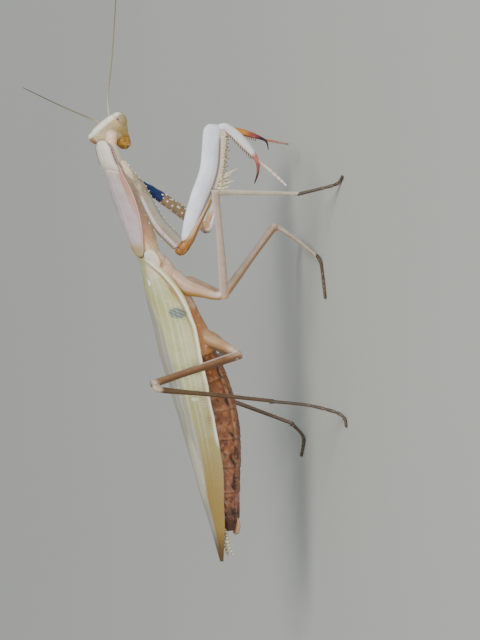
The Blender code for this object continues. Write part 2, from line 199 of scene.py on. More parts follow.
def seat(part, t, turn):  # a place on a tube: point, outward direction, direction along
    i = int(np.argmin(np.abs(part["t"] - t)))
    sides = part["grid"].shape[1]
    k = int(round(math.radians(turn) / (2 * math.pi) * sides)) % sides
    point = part["grid"][i, k]
    return point, unit(point - part["path"][i]), part["along"][i]


# even places along a tube: count, first, last, the turns used by turns, waver and its pace
def seatRow(part, row):
    count, first, last, turns, waver, pace = row
    return [seat(part, first + (last - first) * n / (count - 1),
                 turns[n % len(turns)] + waver * math.sin(n * pace))
            for n in range(count)]


def spike(root, direction, length, radius, bend=(0, 0, 0), rings=8, sides=8, sink=0.12):
    t = np.linspace(0, 1, rings)
    direction = unit(direction)
    path = np.array(root) - direction * sink + direction * ((length + sink) * t)[:, None]
    path = path + np.array(bend, float) * (length * t ** 2)[:, None]
    broad = unit(np.cross(direction, [0.31, 0.22, 0.93]))
    thin = np.cross(direction, broad)
    turn = turnsOf(sides)
    size = radius * (1 - t) ** 0.75 + 0.012
    grid = path[:, None] + size[:, None, None] * (
        broad * np.cos(turn)[:, None] + thin * np.sin(turn)[:, None]
    )
    return partOf(grid, stacked(t[:, None], np.cos(turn), np.sin(turn)),
                  stacked(0.0, t[:, None], 1.0 + 0 * turn))


def bead(centre, radius, squash=(1, 1, 1), frameAxes=None, rings=9, sides=12, marks=(0, 0, 1), lay=None):
    rise = (np.linspace(-1, 1, rings) * math.pi / 2 * 0.97)[:, None]
    turn = turnsOf(sides)
    ball = stacked(np.cos(rise) * np.cos(turn), np.cos(rise) * np.sin(turn), np.sin(rise))
    ball = ball * np.array(squash, float)
    axes = np.eye(3) if frameAxes is None else np.array(frameAxes, float)
    grid = np.array(centre, float) + radius * ball @ axes
    return partOf(grid, ball if lay is None else np.array(lay, float), np.array(marks, float))


# shader groups

def addGroup(name, ins, outs):
    tree = bpy.data.node_groups.new(name, "ShaderNodeTree")
    for label, kind, value in ins:
        made = tree.interface.new_socket(name=label, in_out="INPUT", socket_type="NodeSocket" + kind)
        if value is not None:
            made.default_value = value
    for label, kind in outs:
        tree.interface.new_socket(name=label, in_out="OUTPUT", socket_type="NodeSocket" + kind)
    return tree, tree.nodes.new("NodeGroupInput").outputs, tree.nodes.new("NodeGroupOutput").inputs


def put(tree, kind, inputs=None, **settings):
    made = tree.nodes.new("ShaderNode" + kind)
    for key, value in settings.items():
        setattr(made, key, value)
    for key, value in (inputs or {}).items():
        if isinstance(value, bpy.types.NodeSocket):
            tree.links.new(value, made.inputs[key])
        else:
            made.inputs[key].default_value = value
    return made


def useGroup(tree, group, inputs):
    return put(tree, "Group", inputs, node_tree=group).outputs


def calc(tree, operation, *values):
    return put(tree, "Math", dict(enumerate(values)), operation=operation).outputs[0]


def easeNode(tree, value, low, high, start=0.0, stop=1.0):
    inputs = {"Value": value, "From Min": low, "From Max": high, "To Min": start, "To Max": stop}
    return put(tree, "MapRange", inputs, interpolation_type="SMOOTHSTEP").outputs["Result"]


def blendColour(tree, amount, under, over, blend="MIX"):
    inputs = {0: amount, 6: under, 7: over}
    return put(tree, "Mix", inputs, data_type="RGBA", blend_type=blend).outputs[2]


def rgba(colour):
    return (*colour, 1.0)


def cuticleGroup():  # mottled wax over fine grain
    tree, given, out = addGroup(
        "waxyCuticle",
        [("Body", "Color", rgba((0.8, 0.8, 0.8))), ("Shade", "Color", rgba((0.5, 0.5, 0.5))),
         ("Patch", "Float", 900.0), ("Grain", "Float", 6000.0), ("Mottle", "Float", 0.5)],
        [("Color", "Color"), ("Gloss", "Float"), ("Height", "Float")],
    )
    place = put(tree, "TexCoord").outputs["Object"]
    patch = put(tree, "TexNoise", {"Vector": place, "Scale": given["Patch"], "Detail": 3.0}).outputs["Fac"]
    grain = put(tree, "TexNoise", {"Vector": place, "Scale": given["Grain"], "Detail": 2.0}).outputs["Fac"]
    pores = put(tree, "TexVoronoi", {"Vector": place, "Scale": given["Grain"]}, feature="SMOOTH_F1")
    amount = calc(tree, "MULTIPLY", easeNode(tree, patch, 0.36, 0.66), given["Mottle"])
    colour = blendColour(tree, amount, given["Body"], given["Shade"])
    fleck = easeNode(tree, grain, 0.3, 0.7, 0.93, 1.05)
    colour = blendColour(tree, 1.0, colour,
                         put(tree, "CombineColor", {0: fleck, 1: fleck, 2: fleck}).outputs[0],
                         "MULTIPLY")
    tree.links.new(colour, out["Color"])
    tree.links.new(easeNode(tree, patch, 0.3, 0.7, -0.06, 0.08), out["Gloss"])
    height = calc(tree, "ADD", calc(tree, "MULTIPLY", grain, 0.6),
                  calc(tree, "MULTIPLY", pores.outputs[0], 0.5))
    tree.links.new(height, out["Height"])
    return tree


def sideLineGroup():  # a line or a shaded side that runs along a tube, at one turn round it
    tree, given, out = addGroup(
        "sideLine",
        [("Lay", "Vector", None), ("Turn", "Float", 0.0), ("Width", "Float", 10.0), ("From", "Float", 0.0),
         ("To", "Float", 1.0), ("Fade", "Float", 0.05)],
        [("Mask", "Float")],
    )
    lay = put(tree, "SeparateXYZ", {0: given["Lay"]}).outputs
    turn = calc(tree, "RADIANS", given["Turn"])
    dot = calc(tree, "ADD", calc(tree, "MULTIPLY", lay[1], calc(tree, "COSINE", turn)),
               calc(tree, "MULTIPLY", lay[2], calc(tree, "SINE", turn)))
    apart = calc(tree, "DEGREES", calc(tree, "ARCCOSINE", calc(tree, "MINIMUM", dot, 0.99999)))
    near = easeNode(tree, apart, given["Width"], calc(tree, "MULTIPLY", given["Width"], 0.35))
    start = easeNode(tree, lay[0], given["From"], calc(tree, "ADD", given["From"], given["Fade"]))
    stop = easeNode(tree, lay[0], given["To"], calc(tree, "SUBTRACT", given["To"], given["Fade"]))
    tree.links.new(calc(tree, "MULTIPLY", calc(tree, "MULTIPLY", start, stop), near), out["Mask"])
    return tree


def spotGroup():  # a soft spot at one place of the lay, longer or shorter along each of its axes
    tree, given, out = addGroup(
        "softSpot",
        [("Lay", "Vector", None), ("Centre", "Vector", None), ("Size", "Vector", None),
         ("Ragged", "Float", 0.3)],
        [("Mask", "Float")],
    )
    place = put(tree, "TexCoord").outputs["Object"]
    wobble = put(tree, "TexNoise", {"Vector": place, "Scale": 2600.0, "Detail": 2.0}).outputs["Fac"]
    away = put(tree, "VectorMath", {0: given["Lay"], 1: given["Centre"]}, operation="SUBTRACT").outputs[0]
    away = put(tree, "VectorMath", {0: away, 1: given["Size"]}, operation="DIVIDE").outputs[0]
    length = put(tree, "VectorMath", {0: away}, operation="LENGTH").outputs["Value"]
    length = calc(tree, "ADD", length,
                  calc(tree, "MULTIPLY", calc(tree, "SUBTRACT", wobble, 0.5), given["Ragged"]))
    tree.links.new(easeNode(tree, length, 1.15, 0.75), out["Mask"])
    return tree


cuticle = cuticleGroup()
sideLine = sideLineGroup()
softSpot = spotGroup()


def shell(name, look):
    material = bpy.data.materials.new(name)
    material.use_nodes = True
    tree = material.node_tree
    shader = tree.nodes["Principled BSDF"]
    lay = put(tree, "Attribute", attribute_name="lay").outputs["Vector"]
    marks = put(tree, "SeparateXYZ",
                {0: put(tree, "Attribute", attribute_name="marks").outputs["Vector"]}).outputs
    axes = put(tree, "SeparateXYZ", {0: lay}).outputs
    wax = useGroup(tree, cuticle, {
        "Body": rgba(look["body"]), "Shade": rgba(look["shade"]), "Patch": look.get("patch", 900.0),
        "Grain": look.get("grain", 7000.0), "Mottle": look.get("mottle", 0.6)})
    colour = wax["Color"]
    for axis, start, stop, tint in look.get("fades", ()):
        colour = blendColour(tree, easeNode(tree, axes[axis], start, stop), colour, rgba(tint))
    for turn, width, start, stop, tint, amount in look.get("lines", ()):
        mask = useGroup(tree, sideLine, {"Lay": lay, "Turn": turn, "Width": width, "From": start, "To": stop,
                                         "Fade": look.get("fade", 0.06)})["Mask"]
        colour = blendColour(tree, calc(tree, "MULTIPLY", mask, amount), colour, rgba(tint))
    for centre, size, tint, amount in look.get("spots", ()):
        mask = useGroup(tree, softSpot, {"Lay": lay, "Centre": centre, "Size": size})["Mask"]
        colour = blendColour(tree, calc(tree, "MULTIPLY", mask, amount), colour, rgba(tint))
    for scale, tint, amount in look.get("flecks", ()):
        place = put(tree, "TexCoord").outputs["Object"]
        spread = put(tree, "TexNoise", {"Vector": place, "Scale": scale, "Detail": 1.0}).outputs["Fac"]
        mask = calc(tree, "MULTIPLY", easeNode(tree, spread, 0.60, 0.68), amount)
        colour = blendColour(tree, mask, colour, rgba(tint))
    for axis, tint, amount in look.get("marks", ()):
        colour = blendColour(tree, calc(tree, "MULTIPLY", marks[axis], amount), colour, rgba(tint))
    tree.links.new(colour, shader.inputs["Base Color"])
    rough = calc(tree, "ADD", wax["Gloss"], look.get("roughness", 0.42))
    tree.links.new(rough, shader.inputs["Roughness"])
    relief = put(tree, "Bump",
                 {"Height": wax["Height"], "Strength": look.get("relief", 0.35), "Distance": 0.00004})
    tree.links.new(relief.outputs[0], shader.inputs["Normal"])
    shader.inputs["Subsurface Weight"].default_value = look.get("flesh", 0.15)
    shader.inputs["Subsurface Radius"].default_value = (1.0, 0.6, 0.35)
    shader.inputs["Subsurface Scale"].default_value = 0.0006
    shader.inputs["Specular IOR Level"].default_value = look.get("shine", 0.4)
    shader.inputs["Coat Weight"].default_value = look.get("coat", 0.0)
    shader.inputs["Coat Roughness"].default_value = 0.2
    return material


# camera

cameraPlan = {
    "target": (0.0, -1.4, 12.2),  # mm
    "right": (-0.225, 0.0, -0.974),  # the picture's right, so the head is at the top
    "up": (0.0, -1.0, 0.0),
    "away": 2600.0,
    "tall": 89.6,  # mm seen from top to bottom at the target
}


def turnTo(thing, right, up, back, place):
    matrix = np.eye(4)
    matrix[:3] = np.column_stack([right, up, back, place])
    thing.matrix_world = Matrix(matrix.tolist())


def addCamera(plan):
    right, up = unit(plan["right"]), unit(plan["up"])
    back = np.cross(right, up)
    data = bpy.data.cameras.new("standCamera")
    data.sensor_width = 36.0
    data.lens = data.sensor_width * plan["away"] / plan["tall"]
    data.clip_start = 0.01
    data.clip_end = 20.0
    camera = addObject("standCamera", data)
    turnTo(camera, right, up, back, (np.array(plan["target"]) + trunkAt + back * plan["away"]) * mm)
    bpy.context.scene.camera = camera


addCamera(cameraPlan)


# floor and light: places and sizes in metres

stagePlan = {
    "radius": 3.0,
    "gap": 0.00002,  # the floor's top lies this far under the feet
    "tints": ((0.50, 0.52, 0.48), (0.54, 0.56, 0.52)),
    "sky": (0.90, 0.94, 1.0),
    "skyStrength": 0.34,
    "lamps": {
        "bigSoft": {"place": (-1.0, -0.60, 1.0), "aim": (0.0, 0.0, 0.02), "size": 0.7, "power": 21.5,
                    "tint": (1.0, 0.97, 0.92)},
        "lowFill": {"place": (-1.1, 0.05, 0.16), "aim": (0.0, 0.0, 0.015), "size": 0.4, "power": 5.2,
                    "tint": (1.0, 0.95, 0.88)},
    },
}


def addFloor(plan):
    rings, sides = 24, 96
    reach = (np.linspace(0, 1, rings) ** 2 * plan["radius"] + 0.001)[:, None]
    turn = turnsOf(sides)
    part = partOf(stacked(reach * np.cos(turn), reach * np.sin(turn), 0.0), np.zeros(3))
    mesh = bpy.data.meshes.new("floor")
    mesh.from_pydata(part["points"].tolist(), [], part["faces"][:-sides])
    floor = addObject("floor", mesh)
    floor.location.z = -plan["gap"]
    material = bpy.data.materials.new("paleFloor")
    material.use_nodes = True
    tree = material.node_tree
    place = put(tree, "TexCoord").outputs["Object"]
    cloud = put(tree, "TexNoise", {"Vector": place, "Scale": 14.0, "Detail": 2.0}).outputs["Fac"]
    shader = tree.nodes["Principled BSDF"]
    tree.links.new(blendColour(tree, cloud, *map(rgba, plan["tints"])), shader.inputs["Base Color"])
    shader.inputs["Roughness"].default_value = 0.8
    mesh.materials.append(material)


def addLamp(name, lamp):
    data = bpy.data.lights.new(name, "AREA")
    data.size = lamp["size"]
    data.energy = lamp["power"]
    data.color = lamp["tint"]
    back = unit(np.array(lamp["place"]) - np.array(lamp["aim"]))
    side = unit(np.cross([0.0, 0.3, 1.0], back))
    turnTo(addObject(name, data), side, np.cross(back, side), back, lamp["place"])


def addLight(plan):
    world = bpy.data.worlds.new("studio")
    bpy.context.scene.world = world
    world.use_nodes = True
    sky = world.node_tree.nodes["Background"]
    sky.inputs["Color"].default_value = rgba(plan["sky"])
    sky.inputs["Strength"].default_value = plan["skyStrength"]
    for name, lamp in plan["lamps"].items():
        addLamp(name, lamp)


addFloor(stagePlan)
addLight(stagePlan)
print("floor and light made")


# the trunk: prothorax, thorax and abdomen

def rolled(degrees):
    a = math.radians(degrees)
    return np.array([math.cos(a), 0, math.sin(a)]), np.array([-math.sin(a), 0, math.cos(a)])


# along rows of y, height, half width, half height above and below
def trunk(plan, rings, sides, shape, marking):
    lateral, up = rolled(plan["roll"])
    rows = plan["rows"]
    y = np.linspace(rows[0][0], rows[-1][0], rings)
    table = rowsAt(rows, y)
    centres = np.column_stack([np.zeros(rings), table[:, 0], table[:, 1]])
    along = unit(np.gradient(centres, axis=0))
    dorsal = unit(up - along * (along @ up)[:, None])
    turn = turnsOf(sides)
    c, s = np.cos(turn)[None, :], np.sin(turn)[None, :]
    extra = shape(y[:, None], turn[None, :])
    tall = np.where(s > 0, table[:, 3:4], table[:, 4:5])
    grid = (
        centres[:, None]
        + lateral * ((table[:, 2:3] + extra) * c)[..., None]
        + dorsal[:, None] * ((tall + extra) * s)[..., None]
    )
    return partOf(grid, stacked(y[:, None], c, s), marking(y[:, None], turn[None, :]))


prothorax = {
    "rows": [(-25.9, 31.1, 1.10, 0.80, 1.12), (-23.0, 30.2, 1.50, 0.88, 1.38),
             (-19.8, 29.0, 1.75, 0.88, 1.65), (-15.5, 27.4, 1.65, 0.85, 2.10),
             (-11.75, 26.2, 1.60, 0.78, 2.60), (-10.6, 25.5, 1.42, 0.72, 2.25),
             (-9.2, 24.6, 1.10, 0.50, 1.70)],
    "roll": 24.0,
    "wrinkles": {"from": -14.5, "full": -12.5, "depth": 0.016, "pitch": 11.0},
    "underGroove": [(270, 9, -0.06)],
}
prothoraxLook = {
    "body": (0.80, 0.52, 0.31), "shade": (0.70, 0.39, 0.21), "patch": 700.0, "mottle": 0.7,
    # the second fade: a paler rear end, lightened further as painted light where the shield's shadow falls
    "fades": [(0, -17.0, -23.0, (0.80, 0.66, 0.50)), (0, -12.6, -11.4, (0.82, 0.62, 0.40))],
    "lines": [(268, 22, -20.0, -11.2, (0.42, 0.13, 0.09), 0.9),
              (196, 12, -20.5, -13.0, (0.62, 0.34, 0.30), 0.5)],
    # marks 0 darkens the wrinkles' valleys: painted shade in the creases
    "fade": 1.0, "marks": [(0, (0.56, 0.34, 0.24), 0.4)], "relief": 0.6,
}


def makeProthorax():
    plan = prothorax["wrinkles"]

    def wave(y, turn):
        return np.sin(y * plan["pitch"] + 1.1 * np.sin(turn * 2) + 0.7 * np.sin(turn * 5 + y))

    def reach(y, turn):  # the wrinkles keep off the back
        return ease(plan["from"], plan["full"], y) * ease(60, 110, turnGap(turn, 90))

    def folds(y, turn):
        return wave(y, turn) * plan["depth"] * reach(y, turn) + ribs(turn, prothorax["underGroove"])

    # marks 0: the wrinkles' valleys, darkened there as painted shade in the creases
    def creases(y, turn):
        return stacked(ease(0.2, 0.9, -wave(y, turn)) * reach(y, turn), 0.0, 0.0)

    part = trunk(prothorax, rings=150, sides=72, shape=folds, marking=creases)
    makePiece("prothorax_skin", [part], shell("prothoraxShell", prothoraxLook), ["prothorax"])


thorax = {
    "rows": [(-11.6, 25.8, 1.25, 0.80, 1.20), (-9.1, 24.0, 1.85, 1.30, 1.72), (-4.2, 21.9, 2.70, 2.70, 2.45),
             (-0.6, 20.1, 3.05, 3.65, 2.75), (3.5, 18.6, 3.15, 4.00, 2.90)],
    "roll": 14.0,
    "seams": [(-9.9, 0.4), (-7.4, -1.2), (-3.1, 1.3), (0.9, 0.9), (2.9, 0.0)],  # where, slant
    "seamDepth": 0.055,
    "swell": {"start": -9.6, "pitch": 4.9, "height": 0.10},
    "underGroove": [(270, 7, -0.10)],
    "mound": {"centre": (-0.2, -10.3, 25.1), "radius": 1.4},
}
thoraxLook = {
    "body": (0.70, 0.44, 0.29), "shade": (0.60, 0.32, 0.18), "patch": 600.0, "mottle": 0.8,
    "fades": [(0, -6.5, -10.5, (0.76, 0.56, 0.40)), (0, -5.2, -3.6, (0.48, 0.21, 0.08)),
              (0, 0.5, 3.5, (0.48, 0.22, 0.08))],
    "flecks": [(1500.0, (0.66, 0.46, 0.32), 0.5)],
    "lines": [(238, 12, -9.0, -3.6, (0.62, 0.44, 0.24), 0.6),
              (262, 18, -11.4, -6.0, (0.62, 0.32, 0.22), 0.6)],
    "fade": 1.2, "marks": [(0, (0.42, 0.19, 0.11), 0.45), (1, (0.82, 0.68, 0.60), 0.5)], "relief": 0.5,
}


def seamDepth(y, turn, width):
    return sum(hump(y, place + slant * np.cos(turn) ** 2 * 1.4, width) for place, slant in thorax["seams"])


def makeThorax():
    def swell(y):
        return np.sin((y - thorax["swell"]["start"]) * 2 * math.pi / thorax["swell"]["pitch"])

    def lower(turn):
        return ease(40, 75, turnGap(turn, 90))

    def plates(y, turn):
        depth = thorax["seamDepth"] * seamDepth(y, turn, 0.16)
        plate = (thorax["swell"]["height"] * swell(y) - depth) * lower(turn)
        return plate + ribs(turn, thorax["underGroove"])

    def masks(y, turn):
        seam = seamDepth(y, turn, 0.10) * lower(turn)
        pale = hump(turnGap(turn, 215), 0, 16) * ease(-0.2, 0.8, swell(y))
        return stacked(np.clip(seam, 0, 1), pale, 0.0)

    part = trunk(thorax, rings=150, sides=96, shape=plates, marking=masks)
    mound = bead(thorax["mound"]["centre"], thorax["mound"]["radius"], squash=(1, 1, 0.85),
                 rings=24, sides=36, marks=(0, 0, 0), lay=(-11.0, 0, 1))
    makePiece("thorax_plates", [part, mound], shell("thoraxShell", thoraxLook), ["thorax"])


abdomen = {
    "rows": [(2.8, 18.9, 3.05, 3.90, 2.80), (7.8, 16.9, 3.20, 4.65, 3.10), (12.0, 15.7, 3.15, 4.60, 3.10),
             (16.0, 15.1, 3.00, 3.90, 2.90), (20.5, 14.8, 2.65, 2.85, 2.50), (24.0, 14.5, 2.20, 2.00, 2.15),
             (26.4, 14.2, 1.75, 1.45, 1.80), (28.1, 14.0, 1.00, 0.80, 1.05)],
    "roll": 14.0,
    "segmentEnds": (3.2, 7.1, 11.3, 15.4, 19.3, 22.8, 26.3),
    "step": 0.07,  # how far each segment's rear edge stands out
    "frontGroove": 0.06,
    "dents": {"large": 0.04, "small": 0.03},
    "ribs": [(200, 4, -0.16), (340, 4, -0.16), (270, 14, 0.10)],
    # degrees round it, place in the segment, width in degrees, length as a share of the segment
    "blackSpots": [(190, 0.80, 4.5, 0.17), (138, 0.66, 3.5, 0.22), (350, 0.80, 4.5, 0.17),
                   (42, 0.66, 3.5, 0.22)],
    "flap": [(0.0, 26.2, 13.2), (0.05, 27.4, 12.75), (0.1, 28.5, 12.75)],
    "flapSizes": [(1.25, 0.42), (1.15, 0.42), (0.55, 0.28)],
}
abdomenLook = {
    "body": (0.34, 0.14, 0.06), "shade": (0.17, 0.06, 0.03), "patch": 650.0, "mottle": 0.95,
    "fades": [(0, 11.0, 5.0, (0.20, 0.065, 0.015)), (0, 17.0, 21.0, (0.25, 0.10, 0.055)),
              (0, 24.0, 26.0, (0.07, 0.025, 0.015))],
    "flecks": [(1100.0, (0.07, 0.03, 0.02), 0.7), (1900.0, (0.42, 0.20, 0.11), 0.5)],
    "spots": [((13.5, -0.70, -0.70), (0.9, 0.22, 0.22), (0.07, 0.03, 0.02), 0.8),
              ((17.2, -0.90, -0.45), (1.1, 0.16, 0.20), (0.05, 0.02, 0.015), 0.8),
              ((21.2, -0.95, -0.30), (1.2, 0.14, 0.20), (0.03, 0.02, 0.015), 0.85),
              ((9.2, -0.80, -0.60), (0.8, 0.15, 0.20), (0.12, 0.05, 0.03), 0.7),
              ((19.5, -0.60, -0.80), (1.8, 0.20, 0.20), (0.09, 0.05, 0.04), 0.7),
              ((23.6, -0.75, -0.66), (0.8, 0.30, 0.30), (0.34, 0.18, 0.12), 0.7),
              ((11.3, -0.45, -0.90), (1.4, 0.25, 0.25), (0.40, 0.19, 0.10), 0.7)],
    "fade": 1.5,
    "lines": [(258, 14, 8.0, 26.0, (0.11, 0.05, 0.03), 0.75), (205, 8, 3.0, 20.0, (0.40, 0.22, 0.14), 0.4)],
    "marks": [(0, (0.12, 0.05, 0.03), 0.45), (1, (0.015, 0.014, 0.02), 0.95), (2, (0.62, 0.38, 0.24), 0.6)],
    "relief": 0.6, "roughness": 0.38,
}


def makeAbdomen():
    ends = np.array(abdomen["segmentEnds"])

    def within(y):  # 0 at a segment's front, 1 at its rear end
        i = np.clip(np.searchsorted(ends, y), 1, len(ends) - 1)
        return np.clip((y - ends[i - 1]) / (ends[i] - ends[i - 1]), 0, 1)

    def plates(y, turn):
        t = within(y)
        flare = abdomen["step"] * t ** 2 - abdomen["frontGroove"] * hump(t, 0, 0.07)
        large, small = abdomen["dents"]["large"], abdomen["dents"]["small"]
        dents = -large * np.sin(turn * 9 + y * 3) * hump(t, 0.5, 0.35) - small * np.sin(turn * 17 - y * 4.3)
        return (flare + ribs(turn, abdomen["ribs"]) + dents) * ease(28.1, 26.5, y)

    def masks(y, turn):
        t = within(y)
        seam = 0.6 * (hump(t, 1.0, 0.03) + hump(t, 0.0, 0.025))
        black = 0.0
        for degrees, late, wide, long in abdomen["blackSpots"]:
            where = degrees + 15 * ease(15.0, 7.0, y) + 7 * np.sin(y * 1.7) + 10 * (t - late)
            black = black + hump(t, late + 0.1 * np.sin(y), long) * hump(turnGap(turn, where), 0, wide) * 1.6
        pale = hump(t, 0.93, 0.04) * 0.2 + 0.5 * hump(turnGap(turn, 236), 0, 5) * hump(t, 0.5, 0.2)
        return np.clip(stacked(seam, black, pale), 0, 1)

    part = trunk(abdomen, rings=300, sides=144, shape=plates, marking=masks)
    flap = tube(abdomen["flap"], abdomen["flapSizes"], rolled(abdomen["roll"])[1], rings=20, sides=28)
    flap["lay"] = flap["lay"] * [0, 1, 1] + [22.0, 0, 0]
    flap["marks"][:, 2] = 1.0
    makePiece("abdomen_plates", [part, flap], shell("abdomenShell", abdomenLook),
              ["abdomen"])


makeProthorax()
makeThorax()
makeAbdomen()
print("trunk made")


# pronotum

pronotum = {
    "rows": [(-26.5, 31.32, 0.45, 0.92, 0.12), (-26.3, 31.28, 1.05, 1.18, 0.36),
             (-25.8, 31.15, 1.66, 1.42, 0.62), (-24.4, 30.8, 2.05, 1.50, 0.75),
             (-22.2, 29.95, 2.20, 1.50, 0.80), (-19.5, 28.95, 2.65, 1.50, 0.95),
             (-17.0, 28.0, 2.60, 1.50, 0.95), (-14.6, 27.2, 2.30, 1.50, 0.85),
             (-12.2, 26.5, 1.70, 1.40, 0.60), (-10.9, 26.15, 1.20, 1.18, 0.34),
             (-10.3, 26.0, 0.70, 0.98, 0.18), (-10.1, 25.9, 0.25, 0.82, 0.08)],
    "roll": 24.0,
    "rings": 172,
    "sides": 81,
    "groove": {"at": -22.4, "curve": 0.5, "width": 0.16, "depth": 0.12},
    "keel": {"width": 0.13, "height": 0.07},  # along the middle, behind the groove
    "furrow": {"width": 0.10, "depth": 0.05},  # along the middle, before the groove
    "dimples": {"at": -21.0, "long": 1.2, "depth": 0.07},  # one on each side
    # along the shield: share of the half width, width, height
    "edges": [(0.97, 0.03, 0.06), (0.87, 0.05, -0.05)],
    "thickness": (0.50, 0.30),  # at the middle, and how much less at the edge
    "teeth": {"eachSide": 34, "firstRing": 8, "overRings": 150, "size": 0.035, "spread": 0.02},
}
pronotumLook = {
    "body": (0.60, 0.52, 0.53), "shade": (0.51, 0.43, 0.44), "patch": 500.0, "mottle": 0.9,
    "fades": [(0, -21.8, -23.2, (0.78, 0.74, 0.64)), (0, -12.5, -11.3, (0.46, 0.36, 0.20))],
    "spots": [((-22.6, 0.15, 0), (1.1, 0.8, 9), (0.70, 0.62, 0.46), 0.6),
              ((-22.2, -0.95, 0), (1.2, 0.40, 9), (0.66, 0.54, 0.46), 0.6),
              # the next two spots: brown painted shade where the shield's lower margin curves down
              ((-20.9, -2.15, 0), (2.3, 0.50, 9), (0.42, 0.22, 0.13), 0.8),
              ((-18.2, -2.15, 0), (2.2, 0.42, 9), (0.48, 0.28, 0.20), 0.6)],
    # marks 2: the front fold line, its darkness painted shadow
    "marks": [(0, (0.62, 0.27, 0.24), 0.9), (1, (0.86, 0.85, 0.84), 0.9), (2, (0.14, 0.04, 0.08), 0.95)],
    # marks 1: the white rim, on the upper edge a painted highlight
    "relief": 0.35, "flesh": 0.2,
}


def makePronotum():
    lateral, up = rolled(pronotum["roll"])
    rows, groove, plan = pronotum["rows"], pronotum["groove"], pronotum["teeth"]
    keel, furrow, dimples = pronotum["keel"], pronotum["furrow"], pronotum["dimples"]
    y = np.linspace(rows[0][0], rows[-1][0], pronotum["rings"])
    table = rowsAt(rows, y)
    side = np.linspace(-1, 1, pronotum["sides"])[None, :]
    edge = np.abs(side)
    half, ridge, drop = table[:, 2:3], table[:, 3:4], table[:, 4:5]
    yy = y[:, None] + 0 * side
    across = half * side
    behind = ease(-10.6, -12.5, yy)
    rise = ridge - drop * edge ** 2.2
    bent = hump(yy, groove["at"] + groove["curve"] * side ** 2, groove["width"])
    rise = rise - groove["depth"] * bent * ease(0.96, 0.7, edge)
    rise = rise + keel["height"] * hump(across, 0, keel["width"]) * ease(-21.6, -20.5, yy) * behind
    rise = rise - furrow["depth"] * hump(across, 0, furrow["width"]) * ease(-22.8, -23.6, yy)
    rise = rise + sum(high * hump(edge, where, wide) for where, wide, high in pronotum["edges"])
    rise = rise - dimples["depth"] * hump(edge, 0.5, 0.14) * hump(yy, dimples["at"], dimples["long"])
    centre = np.column_stack([np.zeros(len(y)), y, table[:, 1]])
    outer = centre[:, None] + lateral * across[..., None] + up * rise[..., None]
    thick = pronotum["thickness"][0] - pronotum["thickness"][1] * edge ** 3
    inner = centre[:, None] + lateral * (across * 0.97)[..., None] + up * (rise - thick)[..., None]
    pink = hump(edge, 0.95, 0.09) * ease(-23.2, -21.6, yy) * ease(-10.6, -12.6, yy)
    pink = pink * np.where(side < 0, 1.0, 0.2)
    rim = ease(0.955, 0.99, edge) + 0 * yy
    # the dark maroon line near the front margins, darkened as painted shadow in the fold under the edge
    dark = hump(edge, 0.93, 0.11) * ease(-22.4, -23.4, yy) * ease(-26.5, -26.0, yy)
    lay = stacked(yy, across, side)
    # the white rim is strong on the upper edge as a painted highlight and faint on the lower; the pink line
    # is faint on the upper edge
    marks = stacked(pink * 0.9, np.where(side > 0, rim, rim * 0.3), dark)
    part = plateOf(outer, inner, lay, marks)
    teeth = []
    for row in (0, -1):
        for n in range(plan["eachSide"]):
            i = int(plan["firstRing"] + plan["overRings"] * n / plan["eachSide"])
            size = plan["size"] + plan["spread"] * random.random()
            teeth.append(bead(outer[i, row], size, marks=(0, 1, 0), lay=(y[i], 0, 1)))
    makePiece("pronotum_shield", [part] + teeth, shell("pronotumShell", pronotumLook),
              ["pronotum"])


makePronotum()
print("pronotum made")


# wings

